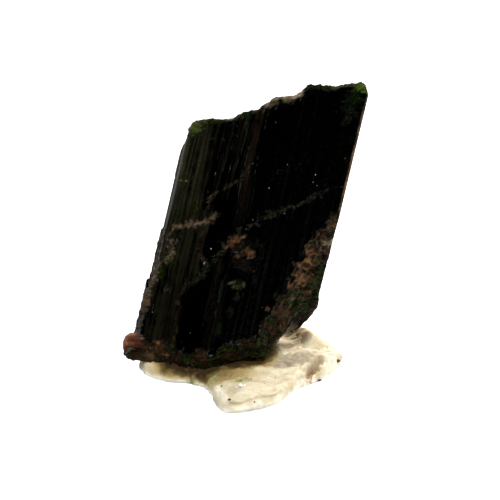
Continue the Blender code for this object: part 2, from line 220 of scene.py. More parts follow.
crystalForm = {
    "leanRight": 13.3,
    "leanBack": 13.0,
    "foot": (-0.95, 1.28, 0.80),
    # The section's corners in u and v, from the left round the front; the first five faces are the front
    "corners": [
        (-4.33, 0.60), (-4.06, -0.42), (-1.00, -2.05), (-0.35, -2.28), (3.66, -1.73),
        (3.76, -1.58), (3.66, 0.90), (1.60, 2.30), (-1.40, 2.52), (-3.60, 1.85),
    ],
    "frontFaces": 5,
    "leftFace": 0,
    "bevelFace": 4,
    "frontV": -2.28,
    "frontEnd": 0.45,
    "frontFade": 0.25,
    # How strong the striae are on each face, and how far apart the mesh's points are
    "faceRibs": (1.5, 0.75, 0.6, 0.14, 0.25, 0.3, 1.0, 1.1, 1.0, 0.9),
    "frontStep": 0.050,
    "sideStep": 0.060,
    "backStep": 0.132,
    "rows": 249,
    "ribWidths": (0.10, 0.30),
    "ribDepth": 0.026,
    "ribSwell": 0.10,
    "ribSeed": 5,
    "grainSeed": 9,
    # Height of the two broken ends against u, how much they rise to the back, and their broad relief
    "topProfile": [
        (-4.60, 9.40), (-4.30, 9.55), (-4.20, 10.05), (-4.10, 10.60), (-3.95, 10.90), (-3.50, 11.07),
        (-2.71, 11.20), (-2.10, 11.46), (-1.87, 11.73), (-1.28, 11.90), (-0.93, 12.26), (-0.54, 12.68),
        (0.30, 12.96), (0.60, 13.25), (0.89, 13.67), (1.50, 13.79), (2.16, 13.88), (2.69, 14.17),
        (3.27, 14.40), (3.60, 14.28), (3.85, 13.90),
    ],
    "topRise": -0.20,
    "topRough": (0.11, 1.1, 1),
    "footProfile": [
        (-5.00, -1.50), (-4.20, -1.68), (-3.86, -1.60), (-3.32, -1.53), (-2.39, -1.34), (-1.31, -0.99),
        (-0.56, -0.72), (0.27, -0.33), (0.73, -0.18), (1.28, 0.15), (1.76, 0.15), (2.15, 0.33),
        (2.26, 0.66), (2.75, 1.00), (3.07, 1.22), (3.38, 1.60), (3.62, 2.12), (3.80, 2.70), (3.95, 3.40),
    ],
    "footRise": 0.21,
    "footRough": (0.08, 0.9, 2),
    # Points over the broken ends: how far apart, and the least and most distance from the rim
    "endPoints": ((0.058, 0.035, 0.30), (0.088, 0.30, 99.0)),
    "endSeed": 17,
    # Fine relief, each as a coarse and a fine part
    "endGrain": (0.050, 0.022),
    "endShake": (0.07, 0.03),
    "chipGrain": (0.085, 0.045),
    "wornGrain": (0.030, 0.020),
    "footGrain": (0.055, 0.03),
    "knobGrain": (0.16, 0.03),
    "terraces": (0.11, 0.08),
    "layerStriae": 0.014,
    "spotGrain": 0.022,
    "skinGrain": 0.004,
    "footStrip": 0.95,
    # How far from each end its edge crumbles, and how deep
    "topCrumble": (0.30, 0.16),
    "footCrumble": (0.35, 0.22),
    # Outer layers left on the front: how far each stands proud, and its outline in u and w
    "layers": [
        (0.12, [
            (-6.0, -3.0), (-6.0, 2.10), (-4.18, 2.15), (-4.04, 2.60), (-4.05, 3.04), (-3.95, 3.46),
            (-3.77, 3.72), (-3.56, 4.08), (-3.67, 4.34), (-3.80, 4.69), (-3.80, 5.09), (-3.68, 5.42),
            (-3.14, 5.63),
            (-2.61, 5.84), (-2.32, 6.08), (-2.05, 6.42), (-2.25, 5.74), (-2.39, 5.12), (-2.33, 4.54),
            (-1.97, 4.17), (-1.75, 3.85), (-1.91, 3.49), (-2.37, 2.96), (-2.64, 2.68), (-2.72, 2.16),
            (-2.70, 1.48), (-2.55, 0.64), (-2.50, -0.40), (-1.60, -0.55), (-0.30, -0.15), (1.20, 0.55),
            (3.00, 1.60), (6.0, 2.0), (6.0, -3.0),
        ]),
        (0.012, [
            (-2.42, 6.49), (-2.44, 7.23), (-2.10, 7.63), (-1.78, 7.92), (-1.41, 8.23), (-1.16, 8.40),
            (-1.07, 8.87), (-0.93, 9.41), (-0.86, 10.6), (-0.98, 16.0), (6.0, 16.0), (6.0, 9.6), (2.91, 9.00),
            (2.69, 8.71), (2.44, 8.51), (2.06, 8.15), (1.84, 7.93), (1.24, 7.70), (0.88, 7.35), (0.43, 7.18),
            (0.14, 6.84), (-0.43, 6.35), (-0.72, 6.02), (-1.05, 5.48), (-1.44, 4.62), (-1.60, 5.30),
            (-2.05, 6.20),
        ]),
    ],
    # The dull striated part of the front, in u and w
    "dullFace": [
        (-6.0, -3.0), (-6.0, 16.0), (-3.16, 11.6), (-3.02, 9.59), (-2.92, 8.18), (-2.78, 6.99), (-2.32, 6.28),
        (-2.25, 5.74), (-2.39, 5.12), (-2.33, 4.54), (-1.97, 4.17), (-1.79, 3.83), (-1.91, 3.49), (-2.37, 2.96),
        (-2.64, 2.68), (-2.72, 2.16), (-2.70, 1.48), (-2.60, 0.64), (-2.57, -0.11), (-2.28, -3.0),
    ],
    # Broken places: centre, the way it faces, width, relief and seed
    "chips": [
        ((3.06, -1.28, 4.58), (0.60, -0.78, -0.17), 6.6, 0.17, 3),
        ((1.60, -2.00, 1.05), (0.24, -0.85, -0.46), 3.6, 0.12, 4),
        ((-2.60, 2.12, 9.20), (-0.30, 0.78, 0.55), 4.4, 0.15, 5),
        ((1.30, 2.20, 2.40), (0.28, 0.86, -0.42), 4.4, 0.15, 6),
    ],
    # Ragged crusted edges on the front: points in u and w, the number of grains along it, how far they
    # scatter, their sizes, rise, the width of the crust under them, and how much of each finish
    "crustLines": [
        {"line": [(-3.70, 5.42), (-3.14, 5.63), (-2.61, 5.84), (-2.32, 6.08), (-2.09, 6.35), (-1.80, 6.62)],
         "grains": 120, "scatter": 0.070, "sizes": (0.03, 0.10), "rise": 0.030, "thread": 0.055,
         "crust": 1.0, "green": 0.55, "pale": 0.60},
        {"line": [(-3.68, 5.42), (-3.80, 5.09), (-3.80, 4.69), (-3.67, 4.34), (-3.56, 4.08), (-3.77, 3.72),
                  (-3.95, 3.46), (-4.05, 3.04), (-4.04, 2.60), (-4.16, 2.11), (-4.24, 1.60)],
         "grains": 150, "scatter": 0.110, "sizes": (0.03, 0.10), "rise": 0.030, "thread": 0.036,
         "crust": 0.95, "green": 0.60, "pale": 0.70},
        {"line": [(-2.42, 6.49), (-2.44, 7.23), (-2.10, 7.63), (-1.78, 7.92), (-1.41, 8.23), (-1.16, 8.40),
                  (-1.07, 8.87), (-0.93, 9.41)],
         "grains": 70, "scatter": 0.055, "sizes": (0.02, 0.06), "rise": 0.015, "thread": 0.018,
         "crust": 0.75, "brown": 0.6, "pale": 0.26},
        {"line": [(-1.44, 4.62), (-1.30, 4.86), (-1.05, 5.48), (-0.72, 6.02), (-0.43, 6.35), (0.14, 6.84),
                  (0.43, 7.18), (0.88, 7.35), (1.24, 7.70), (1.84, 7.93), (2.06, 8.15), (2.44, 8.51),
                  (2.69, 8.71), (2.91, 9.00)],
         "grains": 120, "scatter": 0.095, "sizes": (0.03, 0.085), "rise": 0.010, "thread": 0.004,
         "crust": 0.66, "green": 0.62, "pale": 0.12},
        {"line": [(-1.44, 4.62), (-1.62, 4.20), (-1.97, 3.80), (-1.93, 3.49), (-2.37, 2.96), (-2.64, 2.68)],
         "grains": 80, "scatter": 0.090, "sizes": (0.02, 0.07), "rise": 0.010, "thread": 0.004,
         "crust": 0.45, "green": 0.58},
        {"line": [(-2.42, 6.49), (-2.36, 6.90), (-2.44, 7.23), (-2.60, 7.60)],
         "grains": 24, "scatter": 0.050, "sizes": (0.02, 0.05), "rise": 0.015, "thread": 0.020,
         "crust": 0.40, "brown": 0.50},
        {"line": [(0.10, 8.95), (0.70, 9.30), (1.15, 9.62), (1.70, 10.05)],
         "grains": 40, "scatter": 0.120, "sizes": (0.02, 0.06), "rise": 0.010, "thread": 0.010,
         "crust": 0.40, "pale": 0.12},
        {"line": [(0.20, 4.60), (0.55, 4.10), (0.75, 3.60)],
         "grains": 26, "scatter": 0.100, "sizes": (0.02, 0.06), "rise": 0.010, "thread": 0.010,
         "crust": 0.40, "pale": 0.15},
        {"line": [(3.46, 7.16), (3.20, 6.85), (2.98, 6.62), (2.62, 6.20), (2.30, 5.60)],
         "grains": 40, "scatter": 0.060, "sizes": (0.03, 0.07), "rise": 0.020, "thread": 0.040,
         "green": 0.30, "pale": 0.28},
    ],
    # Spots on the front: middle in u and w, half width and half height, turn in degrees, rise, and how much
    # of each finish; "bare" takes finishes off
    "spots": [
        # two rusty patches with a cream edge, in a thin brown stain
        ((-0.50, 5.30), (0.85, 0.42), 0, 0.0, {"crust": 0.20}),
        ((-0.20, 4.60), (0.50, 0.40), 0, 0.0, {"crust": 0.16}),
        ((-0.80, 5.56), (0.36, 0.23), 45, 0.03, {"crust": 0.80}),
        ((-0.50, 5.80), (0.15, 0.10), 45, 0.03, {"crust": 0.9, "pale": 0.16}),
        ((-1.10, 5.20), (0.22, 0.10), 50, 0.02, {"crust": 0.7, "pale": 0.10}),
        ((-0.10, 5.18), (0.36, 0.24), 10, 0.03, {"crust": 0.78}),
        ((0.02, 4.93), (0.30, 0.06), 20, 0.03, {"crust": 0.9, "pale": 0.20}),
        ((-0.52, 4.86), (0.15, 0.10), 0, 0.03, {"crust": 0.8, "pale": 0.12}),
        ((-0.58, 5.19), (0.22, 0.09), 35, -0.06, {"bare": 1.0, "frost": 0.3}),
        # the ledge's left end and the step under it
        ((-3.60, 5.44), (0.26, 0.09), 8, 0.02, {"crust": 0.85, "green": 0.30, "pale": 0.40}),
        ((-1.84, 6.60), (0.27, 0.20), 0, 0.0, {"bare": 0.85}),
        ((-3.44, 4.83), (0.13, 0.24), -15, -0.16, {"bare": 1.0}),
        ((-3.56, 4.08), (0.19, 0.11), 10, 0.03, {"crust": 0.90, "pale": 0.40}),
        ((-3.45, 3.62), (0.16, 0.26), -10, 0.0, {"green": 0.35}),
        ((-3.80, 3.10), (0.20, 0.34), -10, 0.0, {"green": 0.31}),
        ((-3.30, 2.40), (0.16, 0.12), 0, -0.04, {"crust": 0.35, "bare": 0.6}),
        ((-4.26, 1.35), (0.24, 0.52), -12, 0.06, {"crust": 0.95, "pale": 0.26}),
        ((-2.98, 6.55), (0.16, 0.50), 0, 0.0, {"green": 0.46}),
        ((-3.95, 7.58), (0.10, 0.06), 0, 0.02, {"green": 1.0, "pale": 0.20}),
        ((-3.70, 7.62), (0.13, 0.05), 6, 0.02, {"green": 1.0, "pale": 0.26}),
        ((-3.00, 9.93), (0.34, 0.030), 8, 0.0, {"crust": 0.40, "pale": 0.08}),
        ((-2.45, 10.03), (0.20, 0.028), 0, 0.0, {"crust": 0.40, "pale": 0.08}),
        # the green patch at the middle
        ((-0.22, 3.46), (0.34, 0.19), 12, -0.03, {"green": 0.42}),
        ((-0.52, 3.58), (0.15, 0.06), 40, 0.02, {"crust": 0.5, "pale": 0.40}),
        ((0.08, 3.60), (0.09, 0.15), 0, 0.02, {"crust": 0.6, "pale": 0.25}),
        ((-0.12, 3.00), (0.14, 0.22), 0, 0.0, {"green": 0.18, "crust": 0.2}),
        ((-0.58, 1.30), (0.14, 0.42), 0, 0.02, {"green": 0.22}),
        ((-0.32, 2.25), (0.14, 0.26), 0, 0.02, {"green": 0.20}),
        ((1.41, 2.70), (0.10, 0.12), 0, 0.05, {"crust": 0.6, "pink": 0.35}),
        # the corners, painted green where light shines through them thinly, and the top rim
        ((-3.90, 10.26), (0.46, 0.44), 0, 0.12, {"green": 0.80, "crust": 0.30}),
        ((-3.25, 10.70), (0.55, 0.12), 10, 0.0, {"green": 0.40, "bare": 0.6}),
        ((-2.45, 11.05), (0.45, 0.07), 12, 0.0, {"frost": 0.8, "pale": 0.18}),
        ((-1.84, 11.46), (0.28, 0.13), 8, 0.02, {"green": 0.50, "crust": 0.35}),
        ((-0.60, 12.70), (0.34, 0.07), 32, 0.0, {"crust": 0.6, "pale": 0.75}),
        ((0.16, 12.92), (0.50, 0.09), 16, 0.0, {"crust": 0.6, "pale": 0.85}),
        ((1.20, 13.60), (0.60, 0.12), 8, 0.0, {"green": 0.26, "crust": 0.30}),
        ((2.45, 13.90), (0.55, 0.08), 12, 0.0, {"green": 0.45, "pale": 0.25}),
        ((3.42, 13.98), (0.34, 0.30), 0, 0.0, {"green": 1.0}),
        ((3.12, 13.52), (0.42, 0.42), 0, 0.0, {"green": 0.22}),
        ((3.00, 12.90), (0.40, 0.80), 0, 0.0, {"green": 0.12}),
        # the rough flank, from its top down
        ((3.70, 6.24), (0.10, 0.40), 0, 0.0, {"pale": 0.42}),
        ((3.48, 7.05), (0.15, 0.32), -25, 0.02, {"green": 0.55, "pale": 0.28}),
        ((2.95, 6.00), (0.45, 0.48), 0, 0.02, {"crust": 0.50}),
        ((3.20, 6.25), (0.16, 0.20), 0, 0.02, {"crust": 0.6, "pale": 0.25}),
        ((2.45, 5.08), (0.32, 0.17), -10, 0.08, {"crust": 0.95, "pale": 0.12}),
        ((2.84, 4.86), (0.30, 0.22), -45, 0.08, {"crust": 1.0, "pale": 0.20}),
        ((3.07, 4.52), (0.15, 0.22), -30, 0.05, {"crust": 1.0, "pale": 0.15}),
        ((3.50, 5.25), (0.22, 0.62), 0, 0.0, {"green": 0.72, "crust": 0.35}),
        ((3.58, 5.65), (0.12, 0.14), 0, 0.02, {"pale": 0.40, "green": 0.4}),
        ((3.56, 4.85), (0.10, 0.12), 0, 0.02, {"pale": 0.45, "green": 0.4}),
        ((3.42, 4.70), (0.10, 0.34), 0, 0.02, {"crust": 0.6, "pale": 0.50}),
        ((2.76, 3.92), (0.24, 0.30), 0, -0.07, {"green": 0.36, "bare": 0.8}),
        ((3.14, 3.42), (0.36, 0.26), 0, 0.03, {"green": 0.72, "pale": 0.33}),
        ((3.19, 3.05), (0.20, 0.13), 0, 0.03, {"green": 0.45, "pale": 0.28}),
        ((2.55, 3.10), (0.32, 0.40), 0, 0.0, {"crust": 0.45}),
        ((2.95, 2.60), (0.24, 0.17), 0, 0.04, {"crust": 0.85, "pale": 0.25}),
        ((2.30, 1.95), (0.55, 0.30), 20, 0.0, {"green": 0.24, "crust": 0.30}),
        ((2.35, 4.55), (0.10, 0.30), -20, -0.10, {"bare": 1.0}),
        ((2.20, 3.60), (0.10, 0.40), 10, -0.08, {"bare": 1.0}),
        ((2.73, 5.82), (0.12, 0.20), -35, 0.0, {"crust": 0.80, "pale": 0.26}),
        ((2.98, 4.16), (0.17, 0.10), 30, 0.0, {"crust": 0.70, "pale": 0.32}),
        ((3.50, 3.79), (0.10, 0.16), 0, 0.0, {"green": 0.40, "pale": 0.38}),
        ((3.01, 2.98), (0.20, 0.13), 0, 0.0, {"green": 0.90, "pale": 0.14}),
        ((2.93, 5.34), (0.12, 0.24), -30, 0.0, {"green": 0.62}),
        # the foot
        ((-3.02, -0.45), (0.55, 0.40), 5, 0.04, {"crust": 0.56}),
        ((-3.20, -0.20), (0.22, 0.12), 5, 0.05, {"crust": 0.80}),
        ((-2.70, -0.62), (0.20, 0.10), 5, 0.05, {"crust": 0.78}),
        ((-3.45, -0.55), (0.12, 0.10), 5, 0.05, {"crust": 0.85}),
        ((-2.55, -0.20), (0.12, 0.30), 0, 0.02, {"green": 0.40}),
        ((-3.50, -0.90), (0.40, 0.25), 0, 0.03, {"crust": 0.70, "pale": 0.20}),
        ((0.60, 0.50), (0.60, 0.20), 25, 0.02, {"green": 0.25, "crust": 0.30}),
        ((1.45, 0.95), (0.50, 0.18), 20, 0.02, {"crust": 0.50}),
    ],
    # Streaks of a browner stone that run up the front: u and w at both ends, half width and strength
    "streaks": [
        ((-0.85, 5.6), (-1.15, 13.5), 0.34, 0.44),
        ((-1.70, 8.2), (-1.75, 12.5), 0.30, 0.30),
        ((-1.30, 0.0), (-1.25, 5.0), 0.16, 0.36),
        ((-0.92, -0.5), (-0.95, 4.2), 0.22, 0.42),
        ((-2.95, -1.0), (-3.05, 3.0), 0.14, 0.45),
        ((-2.35, 6.8), (-2.25, 11.2), 0.16, 0.34),
    ],
    # Finishes along the top edge of the front: from u, to u, how far down they reach, and how much of each
    "rimFinishes": [
        # the green at the left and right corners is painted light shining through them
        {"from": -4.50, "to": -3.30, "down": 0.30, "green": 0.80, "pale": 0.10},
        {"from": -3.30, "to": -2.10, "down": 0.09, "frost": 0.8, "pale": 0.22},
        {"from": -2.15, "to": -1.50, "down": 0.16, "green": 0.55, "crust": 0.30},
        {"from": -1.50, "to": -0.95, "down": 0.10, "frost": 0.6, "pale": 0.15},
        {"from": -0.95, "to": 0.70, "down": 0.25, "pale": 0.72, "crust": 0.6},
        {"from": 0.70, "to": 1.95, "down": 0.20, "green": 0.42, "crust": 0.36},
        {"from": 1.95, "to": 3.00, "down": 0.12, "green": 0.55, "pale": 0.36},
        {"from": 3.00, "to": 4.00, "down": 0.15, "green": 0.85},
    ],
    # Lumps of host rock grown to the foot: centre, radii and how pink each is
    "knobs": [
        {"centre": (-3.92, -0.50, -1.20), "radii": (0.74, 0.60, 0.36), "pink": 0.0},
        {"centre": (-4.42, -0.38, -0.66), "radii": (0.50, 0.50, 0.60), "pink": 1.0},
    ],
    # Colour of each finish: how strong it is, and its colour there
    "colours": {
        "crust": [
            (0.15, (0.0018, 0.0011, 0.0004)), (0.38, (0.0095, 0.0050, 0.0015)), (0.56, (0.033, 0.0145, 0.0038)),
            (0.74, (0.100, 0.041, 0.0112)), (0.95, (0.250, 0.133, 0.046)),
        ],
        "frost": [
            (0.15, (0.0014, 0.0017, 0.0006)), (0.45, (0.0062, 0.0072, 0.0026)), (0.65, (0.012, 0.0135, 0.0056)),
            (0.90, (0.029, 0.029, 0.015)),
        ],
        "frostBrown": [
            (0.15, (0.0016, 0.0012, 0.0008)), (0.45, (0.0070, 0.0056, 0.0038)), (0.65, (0.014, 0.011, 0.0080)),
            (0.90, (0.030, 0.025, 0.019)),
        ],
        "green": [
            (0.10, (0.0004, 0.0014, 0.0003)), (0.38, (0.0034, 0.0066, 0.0008)), (0.60, (0.025, 0.032, 0.0062)),
            (0.88, (0.046, 0.087, 0.0105)),
        ],
        "brown": [(0.20, (0.0009, 0.0006, 0.0004)), (0.75, (0.0105, 0.0062, 0.0036))],
        "pale": [
            (0.12, (0.045, 0.032, 0.018)), (0.45, (0.085, 0.066, 0.037)), (0.72, (0.20, 0.17, 0.115)),
            (0.92, (0.50, 0.46, 0.37)),
        ],
        "pink": [
            (0.20, (0.020, 0.006, 0.0022)), (0.45, (0.070, 0.020, 0.008)), (0.68, (0.150, 0.050, 0.024)),
            (0.92, (0.31, 0.145, 0.095)),
        ],
    },
    # The clear stone under the finishes: its surface, its colour in depth, and how fast it darkens
    "clearColour": (0.55, 0.75, 0.45),
    "absorbedColour": (0.38, 0.56, 0.02, 1.0),
    "absorbedDensity": 4200.0,
    "ior": 1.63,
    "specularLevel": 0.30,
}

finishNames = ("crust", "frost", "green", "pink", "brown", "pale")


def ribbedSection(form):  # the columns' places, the way out at each, rib heights, and the face each is on
    draw = np.random.default_rng(form["ribSeed"])
    corners = np.array(form["corners"])
    place, outward, rib, faceOf = [], [], [], []
    for face, start in enumerate(corners):
        end = corners[(face + 1) % len(corners)]
        length = np.hypot(*(end - start))
        along = (end - start) / length
        step = form["frontStep"] if face < form["frontFaces"] else form["backStep"]
        if face == form["frontFaces"]:
            step = form["sideStep"]
        strength = form["faceRibs"][face]
        reach, level = 0.0, 0.0
        while reach < length - 1e-6:
            width = draw.uniform(*form["ribWidths"])
            if length - reach - width < form["ribWidths"][0]:
                width = length - reach
            nextLevel = form["ribDepth"] * draw.uniform(-1, 1)
            if reach + width > length - 1e-6:
                nextLevel = 0.0
            parts = max(2, round(width / step))
            for part in range(parts):
                share = part / parts
                swell = form["ribSwell"] * width * math.sin(math.pi * share)
                rise = strength * (level + (nextLevel - level) * share + swell)
                place.append(start + along * (reach + width * share))
                outward.append((along[1], -along[0]))
                rib.append(rise)
                faceOf.append(face)
            reach += width
            level = nextLevel
    return np.array(place), np.array(outward), np.array(rib), np.array(faceOf)


def breakHeight(u, v, form, end, seed):  # how high a broken end is over the section
    points = np.array(form[end + "Profile"])
    amount, lump, roughSeed = form[end + "Rough"]
    coarse, fine = form["endGrain"]
    place = joined(u, v, 0.0 * u)
    height = np.interp(u, points[:, 0], points[:, 1]) + form[end + "Rise"] * (v - form["frontV"])
    height += amount * roughStone(u, v, 0.0 * u, lump, roughSeed)
    return height + (coarse * brokenFacets(place * 2.6, seed) + fine * brokenFacets(place * 7, seed + 20))


def topHeight(u, v, form):
    return breakHeight(u, v, form, "top", 40)


def footHeight(u, v, form):
    return breakHeight(u, v, form, "foot", 60)


def strengthen(skin, name, amount):  # a finish is as strong as the strongest thing that gives it
    skin.finish[name] = np.maximum(skin.finish[name], amount)


def strandNoise(skin, across, upward, seed, shift=0.0, layers=3):  # noise drawn out along the crystal
    return layeredNoise(joined(skin.arc * across, 0 * skin.w + shift, skin.w * upward), seed, layers)


def startSkin(form):  # the long faces as rows of points, and the noises that their finishes share
    place, outward, rib, faceOf = ribbedSection(form)
    low = footHeight(place[:, 0], place[:, 1], form)
    high = topHeight(place[:, 0], place[:, 1], form)
    w = low + (high - low) * np.linspace(0.0, 1.0, form["rows"] + 1)[:, None]
    u = place[:, 0] + 0.0 * w
    v = place[:, 1] + 0.0 * w
    at = joined(u, v, w)
    print("crystal skin:", w.shape[1], "columns,", w.shape[0], "rows")
    return SimpleNamespace(
        u=u, v=v, w=w, at=at, low=low, high=high, outward=outward, rib=rib, faceOf=faceOf,
        arc=np.cumsum(np.hypot(*np.diff(place, axis=0, append=place[:1]).T)) + 0.0 * w,
        front=ramp(form["frontEnd"] - v, 0.0, form["frontFade"]),
        ragged=0.06 * layeredNoise(at * 2.4, 11) + 0.035 * layeredNoise(at * 8.0, 12),
        patchy=layeredNoise(at * 3.0, 13),
        grainy=layeredNoise(at * 7.0, 26),
        fineGrain=layeredNoise(at * 15.0, 27, 2),
        finish={name: np.zeros(u.shape) for name in finishNames},
    )


def addStriae(skin, form):
    # Ribs fade in and out along the crystal, and those of the outer layer differ from those under it
    skin.relief = skin.rib * (0.75 + 0.45 * strandNoise(skin, 1.3, 0.35, 14, layers=1))
    raised, layerOf, lip = (np.zeros(skin.u.shape) for _ in range(3))
    for number, (proud, outline) in enumerate(form["layers"]):
        depth = depthInside(skin.u, skin.w, outline) + skin.ragged
        cover = ramp(depth, -0.03, 0.04) * skin.front
        fade = ramp(3.75 - skin.u, 0.0, 0.35)
        if number == 0:
            fade = fade * ramp(0.2 - skin.u, 0.0, 1.0)
            lip = np.exp(-(depth / 0.06) ** 2) * skin.front * ramp(-1.7 - skin.u, 0.0, 0.3)
        raised = np.maximum(raised, proud * cover * fade)
        layerOf = np.maximum(layerOf, cover * (number + 1))
    skin.relief += raised + form["layerStriae"] * strandNoise(skin, 10.0, 0.22, 15, layerOf * 5.0, 1)
    strengthen(skin, "crust", lip * ramp(skin.grainy, -0.3, 0.5) * 0.6)


def weatherBack(skin, form):  # the hidden back has lost and kept its layers in the same way
    back = 1.0 - skin.front
    out, into = form["terraces"]
    terrace = strandNoise(skin, 0.55, 0.32, 16) + 0.35 * skin.ragged
    skin.relief += back * (out * ramp(terrace, 0.05, 0.11) - into * ramp(-terrace, 0.30, 0.36))
    edge = np.exp(-((terrace - 0.08) / 0.05) ** 2) + np.exp(-((terrace + 0.33) / 0.05) ** 2)
    strengthen(skin, "crust", back * edge * ramp(skin.grainy, -0.2, 0.4) * 0.6)


def weatherFront(skin, form):  # dull grey-green weathering on the left part, in strands along the crystal; its grey-green colour is partly a painted sheen
    u, w, patchy = skin.u, skin.w, skin.patchy
    strand = strandNoise(skin, 11.0, 0.20, 20)
    softEdge = 0.10 + 0.25 * ramp(w, 6.0, 7.5)
    inside = depthInside(u, w, form["dullFace"]) + 2.0 * skin.ragged + 0.35 * strand
    dull = ramp(inside, -softEdge, softEdge) * skin.front
    byHeight = 0.30 + 0.32 * ramp(w, 1.5, 5.0) + 0.24 * ramp(w, 5.2, 7.0) - 0.10 * ramp(w, 7.5, 9.0)
    lower = 1.0 - ramp(w, 2.5, 5.5)
    streaked = 0.60 - 0.15 * lower + (0.55 + 0.75 * lower) * strand + (0.20 + 0.25 * lower) * patchy
    dull = dull * byHeight * np.clip(streaked, 0.08, 1.0) * (1.0 - 0.35 * ramp(u, -3.7, -2.6))

    # The lower part of the left face is worn rough
    coarse, fine = form["wornGrain"]
    worn = (skin.faceOf == form["leftFace"]) * ramp(5.2 - w + patchy, 0.0, 1.0)
    skin.relief += worn * (coarse * brokenFacets(skin.at * 3.5, 73) + fine * brokenFacets(skin.at * 8.0, 74))
    strengthen(skin, "crust", worn * ramp(skin.grainy + 0.5 * patchy, -0.2, 0.7) * 0.55)
    skin.dull = dull * (1.0 - 0.8 * worn)

    faint = ramp(-0.9 - u, 0.0, 0.4) * ramp(w, 6.5, 8.0) * ramp(strand, 0.12, 0.55) * skin.front * 0.16
    strengthen(skin, "frost", np.maximum(skin.dull, faint))
    strengthen(skin, "frost", (1.0 - skin.front) * (0.25 + 0.45 * strand) * ramp(patchy, -0.4, 0.6))


def addStreaks(skin, form):  # browner strands, also in the dull part
    u, w = skin.u, skin.w
    for (u0, w0), (u1, w1), half, strength in form["streaks"]:
        middle = u0 + (u1 - u0) * np.clip((w - w0) / (w1 - w0), 0, 1)
        lengthwise = ramp(w, w0, w0 + 1.8) * ramp(w1 - w, 0.0, 0.8)
        strands = softNoise(joined(u * 13.0, 0 * u, w * 0.4), 19) + 0.4 * skin.patchy
        near = np.exp(-((u - middle) / half) ** 2) * lengthwise * skin.front
        strengthen(skin, "brown", strength * near * (0.20 + 0.80 * ramp(strands, -0.4, 0.8)))
    tinged = strandNoise(skin, 6.0, 0.25, 28, 9.0) + 0.5 * ramp(u, -3.9, -3.0)
    strengthen(skin, "brown", skin.dull * ramp(tinged, 0.05, 0.45) * 1.1)


def addGrains(skin, line, draw):  # small grains scattered along a line on the front
    points = np.array(line["line"])
    lengths = np.hypot(*np.diff(points, axis=0).T)
    reach = np.concatenate([[0.0], np.cumsum(lengths)])
    for _ in range(line["grains"]):
        along = draw.uniform(0.0, reach[-1])
        size = draw.uniform(*line["sizes"]) * draw.uniform(0.6, 1.0)
        at = [np.interp(along, reach, points[:, axis]) + draw.normal(0.0, line["scatter"]) for axis in (0, 1)]
        share = draw.uniform(0.25, 1.0) * min(1.0, 0.3 + 2.0 * (reach[-1] - along), 0.4 + 2.0 * along)
        tint = {name: share * line[name] * draw.uniform(0.1, 1.4) for name in finishNames if name in line}
        close = (abs(skin.u - at[0]) < 2.5 * size) & (abs(skin.w - at[1]) < 2.5 * size) & (skin.front > 0.5)
        rows, columns = np.nonzero(close)
        away = (skin.u[rows, columns] - at[0]) ** 2 + (skin.w[rows, columns] - at[1]) ** 2
        near = np.exp(-away / size ** 2)
        skin.relief[rows, columns] += line["rise"] * near * share
        for name, amount in tint.items():
            skin.finish[name][rows, columns] = np.maximum(skin.finish[name][rows, columns], amount * near)


def addCrustLines(skin, form):
    draw = np.random.default_rng(form["grainSeed"])
    for line in form["crustLines"]:
        away = distanceToLine(skin.u + 0.8 * skin.ragged, skin.w - 0.8 * skin.ragged, line["line"])
        near = np.exp(-(away / line["thread"]) ** 2) * skin.front
        near = near * ramp(skin.grainy + 0.6 * skin.patchy, -0.20, 0.45)
        for end in (line["line"][0], line["line"][-1]):
            near = near * ramp(np.hypot(skin.u - end[0], skin.w - end[1]), 0.0, 0.5)
        skin.relief += line["rise"] * near * (0.5 + 0.9 * skin.grainy)
        for name in finishNames:
            strengthen(skin, name, 0.7 * line.get(name, 0.0) * near * (1.0 + 0.5 * skin.fineGrain))
        addGrains(skin, line, draw)


def addSpots(skin, form):
    # Spots and rim finishes stop at the front's right corner
    cornerFade = ramp(-0.9 + 0.4 * skin.patchy - skin.v, 0.0, 0.5)
    skin.beside = np.where(skin.faceOf >= form["frontFaces"], cornerFade, 1.0)
    for middle, half, turn, rise, amounts in form["spots"]:
        a, b = turned(skin.u - middle[0], skin.w - middle[1], turn)
        reach = np.hypot(a / half[0], b / half[1])
        reach = reach + 0.32 * skin.patchy + 0.60 * skin.grainy + 0.25 * skin.fineGrain
        near = ramp(1.30 - reach, 0.0, 0.80) * skin.front * skin.beside
        skin.relief += near * (rise + form["spotGrain"] * skin.grainy)
        strongest = max(amounts.get(name, 0.0) for name in finishNames)
        for name in finishNames:
            takenOff = max(amounts.get("bare", 0.0), 0.0 if name in amounts else min(1.0, 1.2 * strongest))
            skin.finish[name] = skin.finish[name] * (1.0 - takenOff * near)
            amount = amounts.get(name, 0.0) * (0.95 + 0.35 * skin.fineGrain + 0.35 * skin.patchy)
            strengthen(skin, name, amount * near)


def finishRim(skin, form):  # what the top edge of the front shows
    for rim in form["rimFinishes"]:
        across = ramp(skin.u, rim["from"] - 0.08, rim["from"] + 0.08)
        across = across * ramp(rim["to"] + 0.08 - skin.u, 0.0, 0.16)
        reach = rim["down"] * (1.0 + 0.6 * skin.patchy + 0.5 * skin.grainy)
        near = across * np.exp(-((skin.high - skin.w) / reach) ** 2) * skin.front * skin.beside
        for name in finishNames:
            strengthen(skin, name, rim.get(name, 0.0) * (0.9 + 0.4 * skin.fineGrain) * near)


